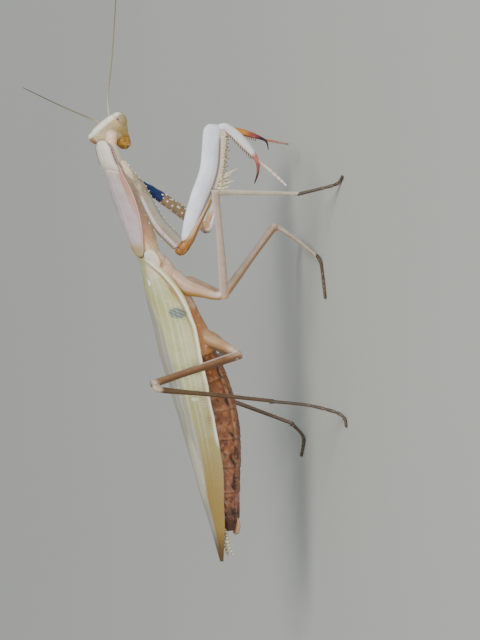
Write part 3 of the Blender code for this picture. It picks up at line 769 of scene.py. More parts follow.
wings = {
    "rows": [(-10.0, 2.15, 1.40, 0.50), (-8.4, 2.55, 2.40, 1.90), (-5.2, 3.44, 3.50, 3.70),
             (-1.2, 4.45, 3.90, 4.25), (6.3, 5.46, 3.95, 3.90), (10.6, 5.59, 3.85, 3.45),
             (14.7, 5.09, 3.60, 3.10), (20.1, 3.87, 3.10, 2.60), (25.2, 2.81, 2.28, 1.55),
             (28.0, 2.20, 1.68, 0.98), (30.0, 1.80, 1.20, 0.50), (32.4, 1.42, 0.45, 0.14)],
    "axis": [(-11.3, 25.6), (-9.1, 24.0), (-4.2, 21.9), (-0.6, 20.1), (3.0, 18.8), (3.2, 18.75), (7.8, 16.9),
             (12.0, 15.7), (16.0, 15.1), (20.5, 14.8), (24.0, 14.5), (26.4, 14.2), (33.0, 13.6)],
    "rings": 340,
    "sides": 110,
    "roll": 14.0,
    "arch": 2.8,
    # the edge of the grey back: y, share of the half width
    "band": ((-7.0, -4.0, 0.0, 7.0, 15.0, 20.0, 25.0), (0.40, 0.0, -0.36, -0.50, -0.58, -0.50, -0.36)),
    "overlap": 0.897,  # mm, how far over the back the upper wing reaches
    "underlap": 0.35,  # how far the lower wing goes on under it, as a share of the half width
    "sink": 0.16,  # mm, how far the lower wing lies under the upper one
    "thickness": 0.14,
    "crossVeins": {"apart": 0.42, "slant": 0.9, "height": 0.012},
    "stigma": {"at": (-2.35, 3.12), "size": (0.75, 0.56), "apart": 0.50, "slant": 1.1},
    "flap": {"centre": (0.0, -9.9, 25.2), "out": 1.75, "up": 0.45, "half": (1.15, 1.45, 0.34),
             "along": (0.0, 0.94, -0.34)},  # the pale flap at each shoulder
    # veins: points (along Y, share of the half width from the back line), height, half width
    "veins": [
        ([(-9.9, 0.77), (-8.0, 0.90), (-6.0, 0.94), (-3.0, 0.97), (0.0, 0.985), (17.0, 0.985)], 0.13, 0.24),
        ([(-9.0, 0.66), (-4.0, 0.63), (3.0, 0.61), (11.0, 0.56), (17.0, 0.46), (22.0, 0.30), (26.0, 0.15)],
         0.06, 0.14),
        ([(-8.6, 0.80), (-4.0, 0.82), (4.0, 0.83), (14.0, 0.80), (22.0, 0.74), (30.0, 0.55)], 0.035, 0.11),
        ([(-4.0, 0.745), (4.0, 0.75), (14.0, 0.70), (22.0, 0.60), (29.0, 0.35)], 0.03, 0.10),
        ([(-8.0, 0.45), (-2.0, 0.42), (6.0, 0.40), (14.0, 0.30), (20.0, 0.14)], 0.03, 0.10),
        ([(-7.0, 0.20), (0.0, 0.20), (8.0, 0.16), (14.0, 0.06)], 0.025, 0.09),
    ],
}
wingLook = {
    "body": (0.49, 0.50, 0.27), "shade": (0.41, 0.41, 0.19), "patch": 350.0, "mottle": 0.9, "grain": 5000.0,
    "fades": [(0, 6.0, 24.0, (0.30, 0.21, 0.06)), (2, -0.06, 0.06, (0.37, 0.36, 0.29)),
              (0, 27.0, 31.5, (0.12, 0.07, 0.02))],
    "spots": [((-2.35, -3.12, 0), (0.80, 0.58, 9), (0.09, 0.18, 0.17), 0.75),
              ((-8.3, -1.5, 0), (1.5, 0.9, 9), (0.66, 0.58, 0.46), 0.6),
              ((-6.6, -0.9, 0), (0.45, 0.25, 9), (0.86, 0.86, 0.88), 0.9),
              ((-7.1, -0.5, 0), (0.35, 0.15, 9), (0.66, 0.62, 0.70), 0.8),
              ((-5.2, -3.1, 0), (1.6, 0.30, 9), (0.44, 0.36, 0.08), 0.6),
              ((5.6, -3.55, 0), (0.6, 0.2, 9), (0.22, 0.32, 0.28), 0.6),
              ((9.7, -2.9, 0), (0.25, 0.30, 9), (0.80, 0.80, 0.60), 0.7),
              ((19.5, -0.6, 0.42), (5.0, 1.6, 0.40), (0.60, 0.56, 0.42), 0.7)],
    "marks": [(0, (0.92, 0.84, 0.66), 1.0), (1, (0.26, 0.13, 0.04), 0.9), (2, (0.03, 0.08, 0.10), 0.8)],
    "roughness": 0.36, "relief": 0.4, "flesh": 0.25,
}
shoulderLook = {
    "body": (0.74, 0.68, 0.58), "shade": (0.64, 0.56, 0.54), "patch": 600.0, "mottle": 0.9, "relief": 0.4,
    "fades": [(0, 0.3, 0.9, (0.78, 0.64, 0.46))],
    "spots": [((0.0, 0.6, 0.7), (0.5, 0.4, 1.0), (0.72, 0.68, 0.76), 0.8)],
}


def waves(place, apart):
    return np.sin(place * 2 * math.pi / apart)


# between two sides, as shares of the half width; hand is 1.0 for the right
def wingSheet(low, high, sink, hand):
    lateral, up = rolled(wings["roll"])
    rows, axis = wings["rows"], np.array(wings["axis"])
    y = np.linspace(rows[0][0], rows[-1][0], wings["rings"])
    table = rowsAt(rows, y)
    height, half, drop = table[:, 1:2], table[:, 2:3], table[:, 3:4]
    edgeLow, edgeHigh = low(half), high(half)
    side = edgeLow + (edgeHigh - edgeLow) * np.linspace(0, 1, wings["sides"])[None, :]
    yy = y[:, None] + 0 * side
    arch = wings["arch"]
    fall = drop * np.abs(side) ** arch
    slope = arch * drop * np.abs(side) ** (arch - 1) * np.sign(side) / half
    norm = np.sqrt(slope ** 2 + 1)
    share = -side * hand  # positive towards this wing's own front edge
    lift, ridge = np.zeros_like(yy), np.zeros_like(yy)
    for points, tall, wide in wings["veins"]:
        points = np.array(points)
        away = (share - np.interp(yy, points[:, 0], points[:, 1])) * half * norm
        ends = ease(points[0, 0] - 0.4, points[0, 0] + 0.6, yy) * ease(points[-1, 0], points[-1, 0] - 2.0, yy)
        lift = lift + tall * hump(away, 0, wide) * ends
        pale = 1.0 if tall > 0.1 else 0.25 * ease(22.0, 10.0, yy)
        ridge = ridge + hump(away, 0, wide * 1.1) * ends * pale
    fine, stigma = wings["crossVeins"], wings["stigma"]
    cross = waves(yy + fine["slant"] * share * half, fine["apart"])
    field = ease(0.60, 0.68, share) * ease(0.93, 0.86, share) * ease(-8.0, -6.0, yy)
    lift = lift + fine["height"] * cross * field
    # the stigma: short dark strokes
    stroke = ease(-0.2, 0.7, waves(yy - stigma["slant"] * share * half, stigma["apart"]))
    oval = np.hypot((yy - stigma["at"][0]) / stigma["size"][0],
                    (share * half - stigma["at"][1]) / stigma["size"][1])
    net = stroke * ease(1.1, 0.75, oval) + 0.12 * ease(0.4, 0.95, cross) * field
    # how far below the front ridge, in mm
    below = (np.interp(yy, *np.array(wings["veins"][0][0]).T) - share) * half * norm
    beside = hump(below, 0.50, 0.17) * ease(-9.6, -8.6, yy)
    shade = beside * (0.35 + 0.65 * ease(2.5, -2.0, yy)) * ease(16.0, 6.0, yy)
    brown = hump(below, 0.72, 0.30) * hump(yy, -5.6, 1.1) * 0.7
    hatch = ease(-0.2, 0.6, waves(yy, 0.36)) * hump(share, 0.92, 0.04)
    hatch = hatch * ease(9.0, 10.2, yy) * ease(14.6, 13.2, yy)
    centre = np.column_stack([np.zeros(len(y)), y, np.interp(y, axis[:, 0], axis[:, 1])])
    outward = lateral * (slope / norm)[..., None] + up * (1 / norm)[..., None]
    base = centre[:, None] + lateral * (half * side)[..., None] + up * (height - fall)[..., None]
    outer = base + outward * (lift - sink)[..., None]
    inner = base - outward * (wings["thickness"] + sink)
    lay = stacked(yy, half * side * hand, side * hand - np.interp(yy, *wings["band"]))
    marks = np.clip(stacked(ridge, np.maximum.reduce([shade, brown, hatch * 0.8]), net), 0, 1)
    return plateOf(outer, inner, lay, marks)


def makeWings():
    def upperEdge(half):
        return np.minimum(wings["overlap"] / half, 0.75)

    right = wingSheet(lambda half: -1.0, upperEdge, 0.0, 1.0)
    left = wingSheet(lambda half: upperEdge(half) - wings["underlap"], lambda half: 1.0, wings["sink"], -1.0)
    look = shell("wingShell", wingLook)
    makePiece("forewing_right_vane", [right], look, ["forewing_right"])
    makePiece("forewing_left_vane", [left], look, ["forewing_left"])
    shoulder = shell("wingShoulder", shoulderLook)
    lateral, up = rolled(wings["roll"])
    plan = wings["flap"]
    for name, hand in (("right", -1.0), ("left", 1.0)):
        out = unit(lateral * hand * 0.6 + up * 0.8)
        across = unit(lateral * hand * 0.8 - up * 0.6)
        centre = np.array(plan["centre"]) + lateral * hand * plan["out"] + up * plan["up"]
        flap = bead(centre, 1.0, plan["half"], [across, plan["along"], out], rings=18, sides=32,
                    marks=(0, 0, 0))
        makePiece("wing_shoulder_" + name, [flap], shoulder)


makeWings()
print("wings made")


# head: lay holds the place on it in mm: to its left, up, forwards

head = {
    "centre": (0.50, -27.9, 30.6),
    "face": (0.740, -0.672, 0.002),
    "left": (0.536, 0.592, 0.602),
    # distance from the middle, top, bottom, half thickness
    "rows": [(0.00, 2.12, -2.55, 1.15), (0.50, 2.12, -2.58, 1.15), (1.00, 2.10, -2.42, 1.12),
             (1.50, 2.04, -1.95, 1.06), (1.90, 1.93, -1.43, 0.98), (2.30, 1.79, -0.92, 0.88)],
    "eye": {"root": 2.20, "bulge": 0.98, "top": 1.80, "bottom": -0.94, "half": 0.89, "lift": 0.36},
    # distance below the middle, half width, half depth, how far back
    "mouth": [(1.50, 0.78, 0.86, 0.34), (2.00, 0.92, 1.00, 0.44), (2.45, 0.95, 1.04, 0.54),
              (2.95, 0.88, 0.96, 0.60), (3.32, 0.64, 0.72, 0.62), (3.58, 0.30, 0.34, 0.62)],
    "sockets": (0.52, 0.55),  # of the feelers
    "reliefs": {"socketRim": 0.10, "socket": 0.10, "shield": 0.09, "clypeus": 0.10, "brow": 0.10,
                "crownLines": 0.04, "nape": 0.05, "jaw": 0.04, "napeTop": 0.02, "cheek": 0.06},
    "simpleEyes": [(0.0, 0.86), (-0.30, 1.06), (0.30, 1.06)],
    "simpleEye": {"radius": 0.15, "squash": (1, 1, 0.8)},
    "lip": {"half": 0.52, "top": 1.90, "long": 1.35, "forward": 0.46, "bulge": 0.14, "thick": 0.16},
    "palp": {"radius": 0.09, "jointDepth": 0.028},
    # feelers beside the mouth: how many joints, points
    "palps": [(4, [(0.70, -2.00, 0.20), (0.80, -2.30, 0.38), (0.76, -2.80, 0.42), (0.56, -3.20, 0.30),
                   (0.34, -3.45, 0.14)]),
              (3, [(0.40, -2.75, -1.42), (0.46, -3.10, -1.36), (0.42, -3.38, -1.12), (0.28, -3.52, -0.84)])],
}
headLeft = unit(head["left"])
headFace = unit(head["face"] - headLeft * np.dot(head["face"], headLeft))
headUp = np.cross(headFace, headLeft)

headLook = {
    "body": (0.66, 0.57, 0.40), "shade": (0.57, 0.46, 0.26), "patch": 700.0, "mottle": 0.8,
    "fades": [(1, -0.7, -1.7, (0.50, 0.32, 0.06)), (1, 1.58, 1.88, (0.82, 0.84, 0.70))],
    "spots": [((-1.60, -0.10, -0.6), (1.10, 1.55, 1.4), (0.54, 0.42, 0.17), 0.6),
              ((-1.60, -0.45, -0.6), (0.75, 1.05, 1.1), (0.48, 0.33, 0.07), 0.7),
              ((-2.28, 0.35, -0.5), (0.24, 1.25, 0.9), (0.42, 0.28, 0.20), 0.8),
              ((1.6, -0.3, -0.7), (0.8, 0.9, 1.0), (0.66, 0.40, 0.18), 0.6),
              ((0.35, 0.1, -1.2), (1.1, 1.0, 0.7), (0.74, 0.64, 0.58), 0.8)],
    "flecks": [(2600.0, (0.46, 0.32, 0.10), 0.25)],
    "marks": [(0, (0.36, 0.22, 0.12), 0.6), (1, (0.86, 0.84, 0.74), 0.7), (2, (0.30, 0.14, 0.08), 0.8)],
    "relief": 0.35, "flesh": 0.25,
}
eyeLook = {
    "body": (0.48, 0.39, 0.31), "shade": (0.40, 0.30, 0.24), "patch": 900.0, "mottle": 0.8, "grain": 14000.0,
    "fades": [(1, 1.25, 0.75, (0.46, 0.36, 0.17)), (1, 0.5, -0.2, (0.46, 0.31, 0.08))],
    "spots": [((2.75, 1.00, -0.40), (0.85, 0.70, 0.9), (0.38, 0.18, 0.035), 0.85),
              ((-2.38, 1.22, -0.62), (0.17, 0.15, 0.5), (0.08, 0.04, 0.04), 1.0),
              ((-2.55, 0.85, -0.45), (0.30, 0.22, 0.7), (0.50, 0.36, 0.34), 0.6),
              ((2.6, 0.7, 0.55), (0.20, 0.24, 0.30), (0.05, 0.03, 0.02), 0.9),
              ((-2.6, 0.7, 0.55), (0.20, 0.24, 0.30), (0.05, 0.03, 0.02), 0.9)],
    "marks": [(0, (0.40, 0.25, 0.20), 0.5), (1, (0.80, 0.80, 0.66), 0.9)],
    "roughness": 0.26, "coat": 0.25, "relief": 0.25, "flesh": 0.2,
}
mouthLook = {
    "body": (0.44, 0.25, 0.03), "shade": (0.26, 0.12, 0.015), "patch": 1300.0, "mottle": 0.9,
    "flecks": [(3600.0, (0.06, 0.02, 0.01), 0.85)],
    "fades": [(1, -3.1, -3.7, (0.13, 0.03, 0.03))],
    "spots": [((-0.95, -1.75, -0.55), (0.10, 0.10, 0.5), (0.12, 0.04, 0.02), 0.95),
              ((-0.55, -2.20, -1.35), (0.12, 0.12, 0.5), (0.14, 0.05, 0.02), 0.95),
              ((-0.95, -2.35, -0.35), (0.11, 0.11, 0.4), (0.12, 0.04, 0.02), 0.95),
              ((0.25, -2.15, -1.50), (0.10, 0.10, 0.4), (0.14, 0.05, 0.02), 0.9),
              ((-0.35, -2.95, -1.20), (0.34, 0.30, 0.7), (0.58, 0.24, 0.26), 0.85)],
    "marks": [(0, (0.16, 0.07, 0.03), 0.8), (1, (0.72, 0.52, 0.24), 0.8)],
    "relief": 0.5, "roughness": 0.3, "coat": 0.2,
}
neckLook = {
    "body": (0.84, 0.62, 0.46), "shade": (0.76, 0.50, 0.34), "patch": 900.0, "mottle": 0.7,
    # marks 0 darkens the wrinkles' valleys: painted shade in the creases
    "marks": [(0, (0.60, 0.46, 0.42), 0.35)], "relief": 0.5, "flesh": 0.3,
}


def onHead(left, up, face):
    return np.array(head["centre"]) + stacked(left, up, face) @ np.array([headLeft, headUp, headFace])


def headPart(left, up, face, marks):
    return partOf(onHead(left, up, face), stacked(left, up, face), marks)


def makeHeadShell():
    rows = [(-row[0], *row[1:]) for row in head["rows"][:0:-1]] + head["rows"]
    x = np.linspace(-2.28, 2.28, 131)[:, None]
    table = rowsAt(rows, x[:, 0])
    turn = turnsOf(120)
    s, c = np.sin(turn)[None, :], np.cos(turn)[None, :]
    middle, tall = (table[:, 1:2] + table[:, 2:3]) / 2, (table[:, 1:2] - table[:, 2:3]) / 2
    up, face, out = middle + tall * s, table[:, 3:4] * c, np.abs(x)
    front, back, crown = ease(0.05, 0.5, c), ease(-0.05, -0.5, c), ease(0.45, 0.9, s)
    socket = np.hypot(out - head["sockets"][0], (up - head["sockets"][1]) * 1.1)
    nape = np.hypot(x, up - 0.1)
    jaw = -1.2 - 0.2 * x ** 2
    cheek = out - 0.35 * (up + 2.0)
    below = ease(-0.5, -0.9, up)
    shield = ease(0.88, 0.78, out + 0.25 * (up + 0.3)) * ease(-1.20, -1.08, up) * ease(-0.12, -0.24, up)
    clypeus = ease(0.80, 0.70, out) * ease(-1.92, -1.80, up) * ease(-1.22, -1.34, up)
    high = head["reliefs"]
    swell = (
        front * (high["socketRim"] * hump(socket, 0.25, 0.08) - high["socket"] * hump(socket, 0, 0.15)
                 + high["shield"] * shield + high["clypeus"] * clypeus
                 + high["brow"] * hump(np.hypot(x, up - 1.0), 0, 0.38))
        - crown * high["crownLines"] * (hump(out, 0.80, 0.07) + hump(out, 2.24, 0.08))
        - back * (high["nape"] * hump(nape, 1.0, 0.12) + high["jaw"] * hump(up, jaw, 0.09)
                  + high["napeTop"] * hump(up, 1.25, 0.12))
        - high["cheek"] * hump(cheek, 0.62, 0.07) * below
    )
    groove = (
        front * (hump(socket, 0.36, 0.04) + 0.7 * hump(np.abs(shield - 0.5), 0, 0.25)
                 + 0.7 * hump(np.abs(clypeus - 0.5), 0, 0.25))
        + crown * 0.5 * (hump(out, 0.80, 0.05) + hump(out, 2.24, 0.06))
        + back * (0.3 * hump(nape, 1.0, 0.10) + 0.4 * hump(up, jaw, 0.06))
        + 0.6 * hump(cheek, 0.62, 0.05) * below
    )
    pale = crown * hump(np.degrees(turn), 100, 14) + front * shield * 0.5
    face = face + swell * c + 0.16 * back * ease(0.3, 1.0, np.abs(c)) * ease(1.6, 0.6, out)
    parts = [headPart(x, up + swell * s, face, np.clip(stacked(groove, pale, 0.0), 0, 1))]
    small = head["simpleEye"]
    for side, lift in head["simpleEyes"]:
        forward = 1.06 - 0.30 * (lift - 0.8)
        parts.append(bead(onHead(side, lift, forward), small["radius"], small["squash"],
                          [headLeft, headUp, headFace], marks=(0, 0, 1), lay=(side, lift, forward)))
    makePiece("head_shell", parts, shell("headShell", headLook), ["head"])


def makeEye(name, side, node):
    eye = head["eye"]
    middle, tall = (eye["top"] + eye["bottom"]) / 2, (eye["top"] - eye["bottom"]) / 2
    a = np.linspace(-0.25, math.pi / 2 * 0.985, 44)[:, None]
    turn = turnsOf(96)[None, :]
    left = side * (eye["root"] + eye["bulge"] * np.sin(a)) + 0 * turn
    up = middle + tall * np.cos(a) * np.sin(turn) + eye["lift"] * np.sin(a)
    face = eye["half"] * np.cos(a) * np.cos(turn) * (1 - 0.10 * (np.cos(turn) < 0))
    stripe = 0.5 + 0.5 * np.sin(up * 22 + 1.2 * face)
    rim = ease(38, 12, np.abs(np.degrees(turn) - 98)) * ease(1.56, 1.3, a)
    brown = 0.6 * hump(np.degrees(turn), 150, 13) * ease(1.4, 1.0, a)
    marks = np.clip(stacked(stripe * 0.5 * ease(0.8, -0.2, up) + brown, rim, 0.0), 0, 1)
    makePiece(name, [headPart(left, up, face, marks)], eyeShell, [node])


def makeMouthparts():
    rows = head["mouth"]
    down = np.linspace(rows[0][0], rows[-1][0], 60)
    table = rowsAt(rows, down)
    turn = turnsOf(72)[None, :]
    c, s = np.cos(turn), np.sin(turn)
    d = down[:, None]
    split = hump(turnGap(turn, 0) % 180, 62, 7) * ease(2.2, 2.5, d)
    swell = 0.05 * hump(d, 2.65, 0.35) * np.abs(c) - 0.09 * split - 0.05 * hump(d, 3.05, 0.06) * (s < 0)
    left = (table[:, 1:2] + swell) * c + 0.12
    face = (table[:, 2:3] + swell) * s - table[:, 3:4]
    seam = np.clip(split + 0.6 * hump(d, 3.05, 0.05) * (s < 0), 0, 1)
    parts = [headPart(left, -d, face, stacked(seam, 0.0, 0.0))]
    lip, t = head["lip"], np.linspace(0, 1, 26)[:, None]  # the upper lip, a small plate in front
    left = lip["half"] * (1 - 0.35 * t ** 3) * c * np.sqrt(np.clip(1 - (2 * t - 1) ** 6, 0.02, 1))
    face = lip["forward"] + lip["bulge"] * np.sin(math.pi * t ** 0.7) + lip["thick"] * s
    parts.append(headPart(left, -lip["top"] - lip["long"] * t, face, np.array([0.0, 0.7, 0.0])))
    plan = head["palp"]
    for side in (-1, 1):
        for joints, points in head["palps"]:
            line = [onHead(side * a, b, f) for a, b, f in points]
            palp = tube(line, [(plan["radius"], plan["radius"])] * 3, headFace, rings=40, sides=14, cap=0.08,
                        shape=lambda t, turn: -plan["jointDepth"] * beats(t, joints, 6) + 0 * turn)
            palp["lay"] = np.tile([side * 0.3, -2.6, 0.9], (len(palp["lay"]), 1))
            palp["marks"] = np.tile([0.0, 0.45, 0.0], (len(palp["marks"]), 1))
            parts.append(palp)
    makePiece("mouthparts_set", parts, shell("mouthShell", mouthLook), ["mouthparts"])


neck = {
    "head": (0.0, -0.05, -0.75),  # where it meets the head, on the head's own axes
    "body": (0.0, -25.2, 30.85),
    "direction": (0.0, -0.95, 0.30),
    "radii": (0.90, 0.98),  # at the head, at the body
    "wrinkles": 0.018,
    "waist": 0.05,
}


def makeNeck():
    t = np.linspace(0, 1, 40)[:, None, None]
    forward = unit(neck["direction"])
    lateral = unit(headLeft - forward * (headLeft @ forward))
    upward = np.cross(forward, lateral)
    turn = turnsOf(64)[None, :, None]
    c, s = np.cos(turn), np.sin(turn)
    back = onHead(*neck["head"])
    end = np.array(neck["body"])
    near = back + (headLeft * c + headUp * s) * neck["radii"][0]
    far = end + (lateral * c + upward * s) * neck["radii"][1]
    grid = near + (far - near) * t
    middle = back + (end - back) * t
    wave = np.sin(t * 24 + 0.8 * np.sin(turn * 3))
    rise = neck["wrinkles"] * wave - neck["waist"] * np.sin(math.pi * t)
    grid = grid + unit(grid - middle) * rise
    # marks 0: the wrinkles' valleys, darkened there as painted shade in the creases
    marks = stacked(ease(0.2, 0.9, -wave[..., 0]), 0.0, 0.0)
    makePiece("neck_skin", [partOf(grid, np.zeros(3), marks)], shell("neckSkin", neckLook),
              ["neck"])


feelers = {
    "right": [(-0.52, 0.55, 1.10), (1.6, -32.6, 30.8), (1.9, -37.4, 30.2), (2.2, -45.0, 29.6),
              (2.6, -57.0, 28.8)],
    "left": [(0.52, 0.55, 1.10), (4.6, -29.6, 32.6), (14.0, -31.4, 34.6), (27.0, -34.0, 37.0)],
    "sizes": [(0.14, 0.14), (0.09, 0.09), (0.075, 0.075), (0.055, 0.055)],
    "joints": 90,
    "jointDepth": 0.012,
    # the two thick joints at the root: from, to, half widths there, rings, sides, round of the ends
    "base": [(-0.10, 0.42, (0.21, 0.17), 12, 18, 0.1), (0.52, 0.80, (0.15, 0.14), 8, 16, 0.08)],
}
feelerLook = {
    "body": (0.66, 0.62, 0.42), "shade": (0.50, 0.44, 0.28), "mottle": 0.6,
    "fades": [(0, 0.03, 0.22, (0.30, 0.24, 0.13)), (0, 0.25, 0.7, (0.13, 0.10, 0.07))],
    "marks": [(0, (0.05, 0.04, 0.03), 0.6)], "relief": 0.3, "flesh": 0.0,
}


def makeFeeler(side, material):
    across = (0.2, 0.1, 1.0)

    def waist(t, turn):
        return -feelers["jointDepth"] * beats(t, feelers["joints"], 4) + 0 * turn

    def rings(t, turn):
        return stacked(beats(t, feelers["joints"], 4), 0 * turn, 0.0)

    points = [tuple(onHead(*feelers[side][0]))] + feelers[side][1:]
    whip = tube(points, feelers["sizes"], across, rings=540, sides=10, cap=0.06, reach=(0.1, 0.0),
                shape=waist, marking=rings)
    root, along = whip["path"][6], whip["along"][6]
    parts = [whip]
    for low, high, sizes, count, sides, cap in feelers["base"]:
        ends = [root + along * low, root + along * high]
        joint = tube(ends, [(size, size) for size in sizes], across, count, sides, cap)
        joint["lay"] = joint["lay"] * [0.0, 1, 1]
        parts.append(joint)
    makePiece("feeler_" + side, parts, material, ["antenna_" + side])


makeHeadShell()
eyeShell = shell("eyeShell", eyeLook)
makeEye("compound_eye_left", 1, "eye_left")
makeEye("compound_eye_right", -1, "eye_right")
makeMouthparts()
makeNeck()
feelerShell = shell("feelerShell", feelerLook)
makeFeeler("right", feelerShell)
makeFeeler("left", feelerShell)
print("head made")


# tail feelers

tail = {
    "points": [(0.75, 27.8, 14.5), (1.2, 29.6, 14.25), (1.45, 31.4, 13.6)],
    "sizes": [(0.22, 0.22), (0.26, 0.24), (0.15, 0.15)],
    "joints": 9,
    "jointDepth": 0.06,
    "hairs": {"count": 40, "length": 0.35, "radius": 0.014},
}
tailLook = {"body": (0.72, 0.66, 0.50), "shade": (0.60, 0.50, 0.36), "mottle": 0.6,
            "marks": [(0, (0.20, 0.13, 0.08), 0.9), (1, (0.30, 0.20, 0.14), 0.6)], "relief": 0.4}


def makeTail(name, side, material, node):
    def waist(t, turn):
        return -tail["jointDepth"] * beats(t, tail["joints"], 3) + 0 * turn

    def rings(t, turn):
        return stacked(beats(t, tail["joints"], 3), 0 * turn, 0.0)

    points = [(side * x, y, z) for x, y, z in tail["points"]]
    part = tube(points, tail["sizes"], (0, 0, 1), rings=120, sides=20, cap=0.1, shape=waist, marking=rings)
    hairs, plan = [], tail["hairs"]
    for n in range(plan["count"]):
        point, out, along = seat(part, 0.06 + 0.9 * n / plan["count"], random.uniform(0, 360))
        hairs.append(spike(point, out + along * 0.9, plan["length"], plan["radius"], rings=4, sides=5,
                           sink=0.03))
    makePiece(name, [part] + hairs, material, [node])


tailShell = shell("tailShell", tailLook)
makeTail("tail_feeler_left", 1, tailShell, "cercus_left")
makeTail("tail_feeler_right", -1, tailShell, "cercus_right")
print("tail feelers made")


# legs

legs = {
    "fore_right": {
        "coxa": [(-1.8, -23.4, 29.45), (-2.35, -22.05, 28.7), (-2.95, -19.95, 27.3), (-3.95, -16.7, 25.9),
                 (-4.55, -14.45, 24.65), (-5.25, -12.0, 22.4)],
        "femur": [(-5.6, -12.0, 21.15), (-5.8, -13.8, 20.7), (-5.95, -16.1, 20.0), (-6.1, -18.2, 19.25),
                  (-6.4, -22.6, 17.85), (-6.6, -28.2, 17.55)],
        "tibia": [(-6.3, -28.25, 15.6), (-5.5, -26.5, 13.35), (-4.6, -24.1, 11.05), (-4.3, -22.3, 10.6),
                  (-4.0, -20.6, 11.0)],
        "ankle": (-4.6, -24.1, 11.05),
        "tarsus": [(-4.5, -23.5, 10.4), (-4.8, -22.0, 8.65), (-5.4, -20.3, 6.92)],
    },
    "fore_left": {
        "coxa": [(1.8, -21.0, 26.9), (3.1, -17.8, 21.7), (4.3, -14.8, 17.2)],
        "femur": [(4.8, -14.1, 15.9), (8.2, -17.8, 14.55), (12.0, -23.2, 13.1), (15.0, -27.7, 11.9)],
        "tibia": [(15.5, -28.2, 10.5), (13.0, -27.8, 8.8), (10.2, -27.1, 7.2), (8.4, -26.5, 6.5),
                  (7.0, -25.4, 6.5)],
        "ankle": (10.2, -27.1, 7.2),
        "tarsus": [(10.5, -26.8, 6.5), (12.0, -26.5, 4.4), (13.9, -26.2, 2.2)],
    },
    "mid_right": {
        "coxa": [(-0.3, -8.0, 22.6), (-2.0, -6.2, 20.8), (-3.2, -5.4, 18.6), (-4.4, -4.8, 16.6)],
        "femur": [(-4.8, -4.9, 15.6), (-6.2, -10.5, 16.3), (-7.9, -18.9, 17.5)],
        "tibia": [(-8.0, -19.2, 16.85), (-7.5, -19.15, 11.5), (-7.0, -19.05, 5.6)],
        "tarsus": [(-7.15, -19.05, 5.2), (-9.2, -20.2, 1.0), (-10.2, -20.8, 0.2), (-11.4, -21.4, 0.2)],
    },
    "mid_left": {
        "coxa": [(1.6, -6.5, 19.8), (2.6, -5.6, 16.6), (3.3, -5.1, 14.2)],
        "femur": [(3.6, -5.4, 13.3), (7.0, -9.2, 9.7), (11.5, -14.2, 4.9)],
        "tibia": [(11.8, -14.4, 3.9), (7.0, -12.5, 2.2), (2.4, -10.5, 0.8)],
        "tarsus": [(2.05, -10.35, 0.62), (1.5, -9.5, 0.25), (0.9, -8.5, 0.2), (-0.2, -6.4, 0.2),
                   (-1.0, -4.6, 0.2)],
    },
    "hind_right": {
        "coxa": [(-0.3, -0.4, 19.2), (-2.0, 1.1, 17.4), (-3.0, 2.1, 15.5), (-4.0, 3.1, 13.9)],
        "femur": [(-4.7, 3.6, 13.7), (-7.6, 5.2, 19.4), (-11.8, 7.35, 26.9)],
        "tibia": [(-12.3, 8.3, 26.5), (-11.8, 9.0, 19.0), (-11.1, 9.85, 10.6)],
        "tarsus": [(-11.15, 9.95, 10.18), (-12.1, 10.5, 5.2), (-12.9, 11.5, 1.4), (-13.3, 12.4, 0.3),
                   (-13.7, 13.4, 0.2)],
    },
    "hind_left": {
        "coxa": [(1.7, 1.0, 16.4), (2.6, 2.1, 14.6), (3.2, 3.0, 13.2)],
        "femur": [(3.9, 3.2, 13.1), (10.5, 4.9, 14.6), (18.4, 6.8, 16.3)],
        "tibia": [(18.8, 7.6, 15.6), (14.6, 10.2, 9.4), (10.2, 13.0, 2.7)],
        "tarsus": [(10.25, 13.2, 2.35), (11.2, 14.8, 0.6), (12.4, 16.2, 0.2), (13.6, 17.6, 0.2)],
    },
}
tarsusPlan = {
    "joints": (0.50, 0.66, 0.78, 0.87),
    "pinch": (0.0, 0.014),  # how far before each joint, how wide
    "flare": (0.035, 0.03),
    "clawSpread": 0.55,
}


def legPlanes(leg):  # square to the plane of the coxa's swing, and to that of the knee's bend
    shoulder, end = np.array(leg["coxa"][0]), np.array(leg["coxa"][-1])
    hip, knee = np.array(leg["femur"][0]), np.array(leg["femur"][-1])
    ankle = np.array(leg.get("ankle", leg["tibia"][-1]))
    return unit(np.cross(end - shoulder, knee - shoulder)), unit(np.cross(knee - hip, ankle - knee))


# the points of a segment, with one before them towards the joint it grows from
def leadIn(start, points, share):
    start = np.array(start)
    return [tuple(start + (np.array(points[0]) - start) * share)] + points


def atJoints(t, before, width):
    return sum(hump(t, joint - before, width) for joint in tarsusPlan["joints"])


def tarsus(points, sizes, bend, rings, cap, reach, depth):
    def shape(t, turn):
        flare, pinch = atJoints(t, *tarsusPlan["flare"]), atJoints(t, *tarsusPlan["pinch"])
        return depth * (0.5 * flare - pinch) + 0 * turn

    def marking(t, turn):
        return np.clip(stacked(atJoints(t, 0.0, 0.016), 0 * turn, atJoints(t, 0.03, 0.022)), 0, 1)

    return tube(points, sizes, bend, rings, 24, cap, reach, shape, marking)


def claws(part, across, size):
    point, along = part["path"][-3], part["along"][-3]
    sides = [np.array(across) * side * tarsusPlan["clawSpread"] for side in (-1, 1)]
    return [spike(point, unit(along + out), size, 0.06, bend=-out - [0, 0, 0.25], sides=7) for out in sides]


def makeSegment(leg, segment, parts, material):
    makePiece(leg + "_" + segment + "_shell", parts, material, [leg + "_" + segment])


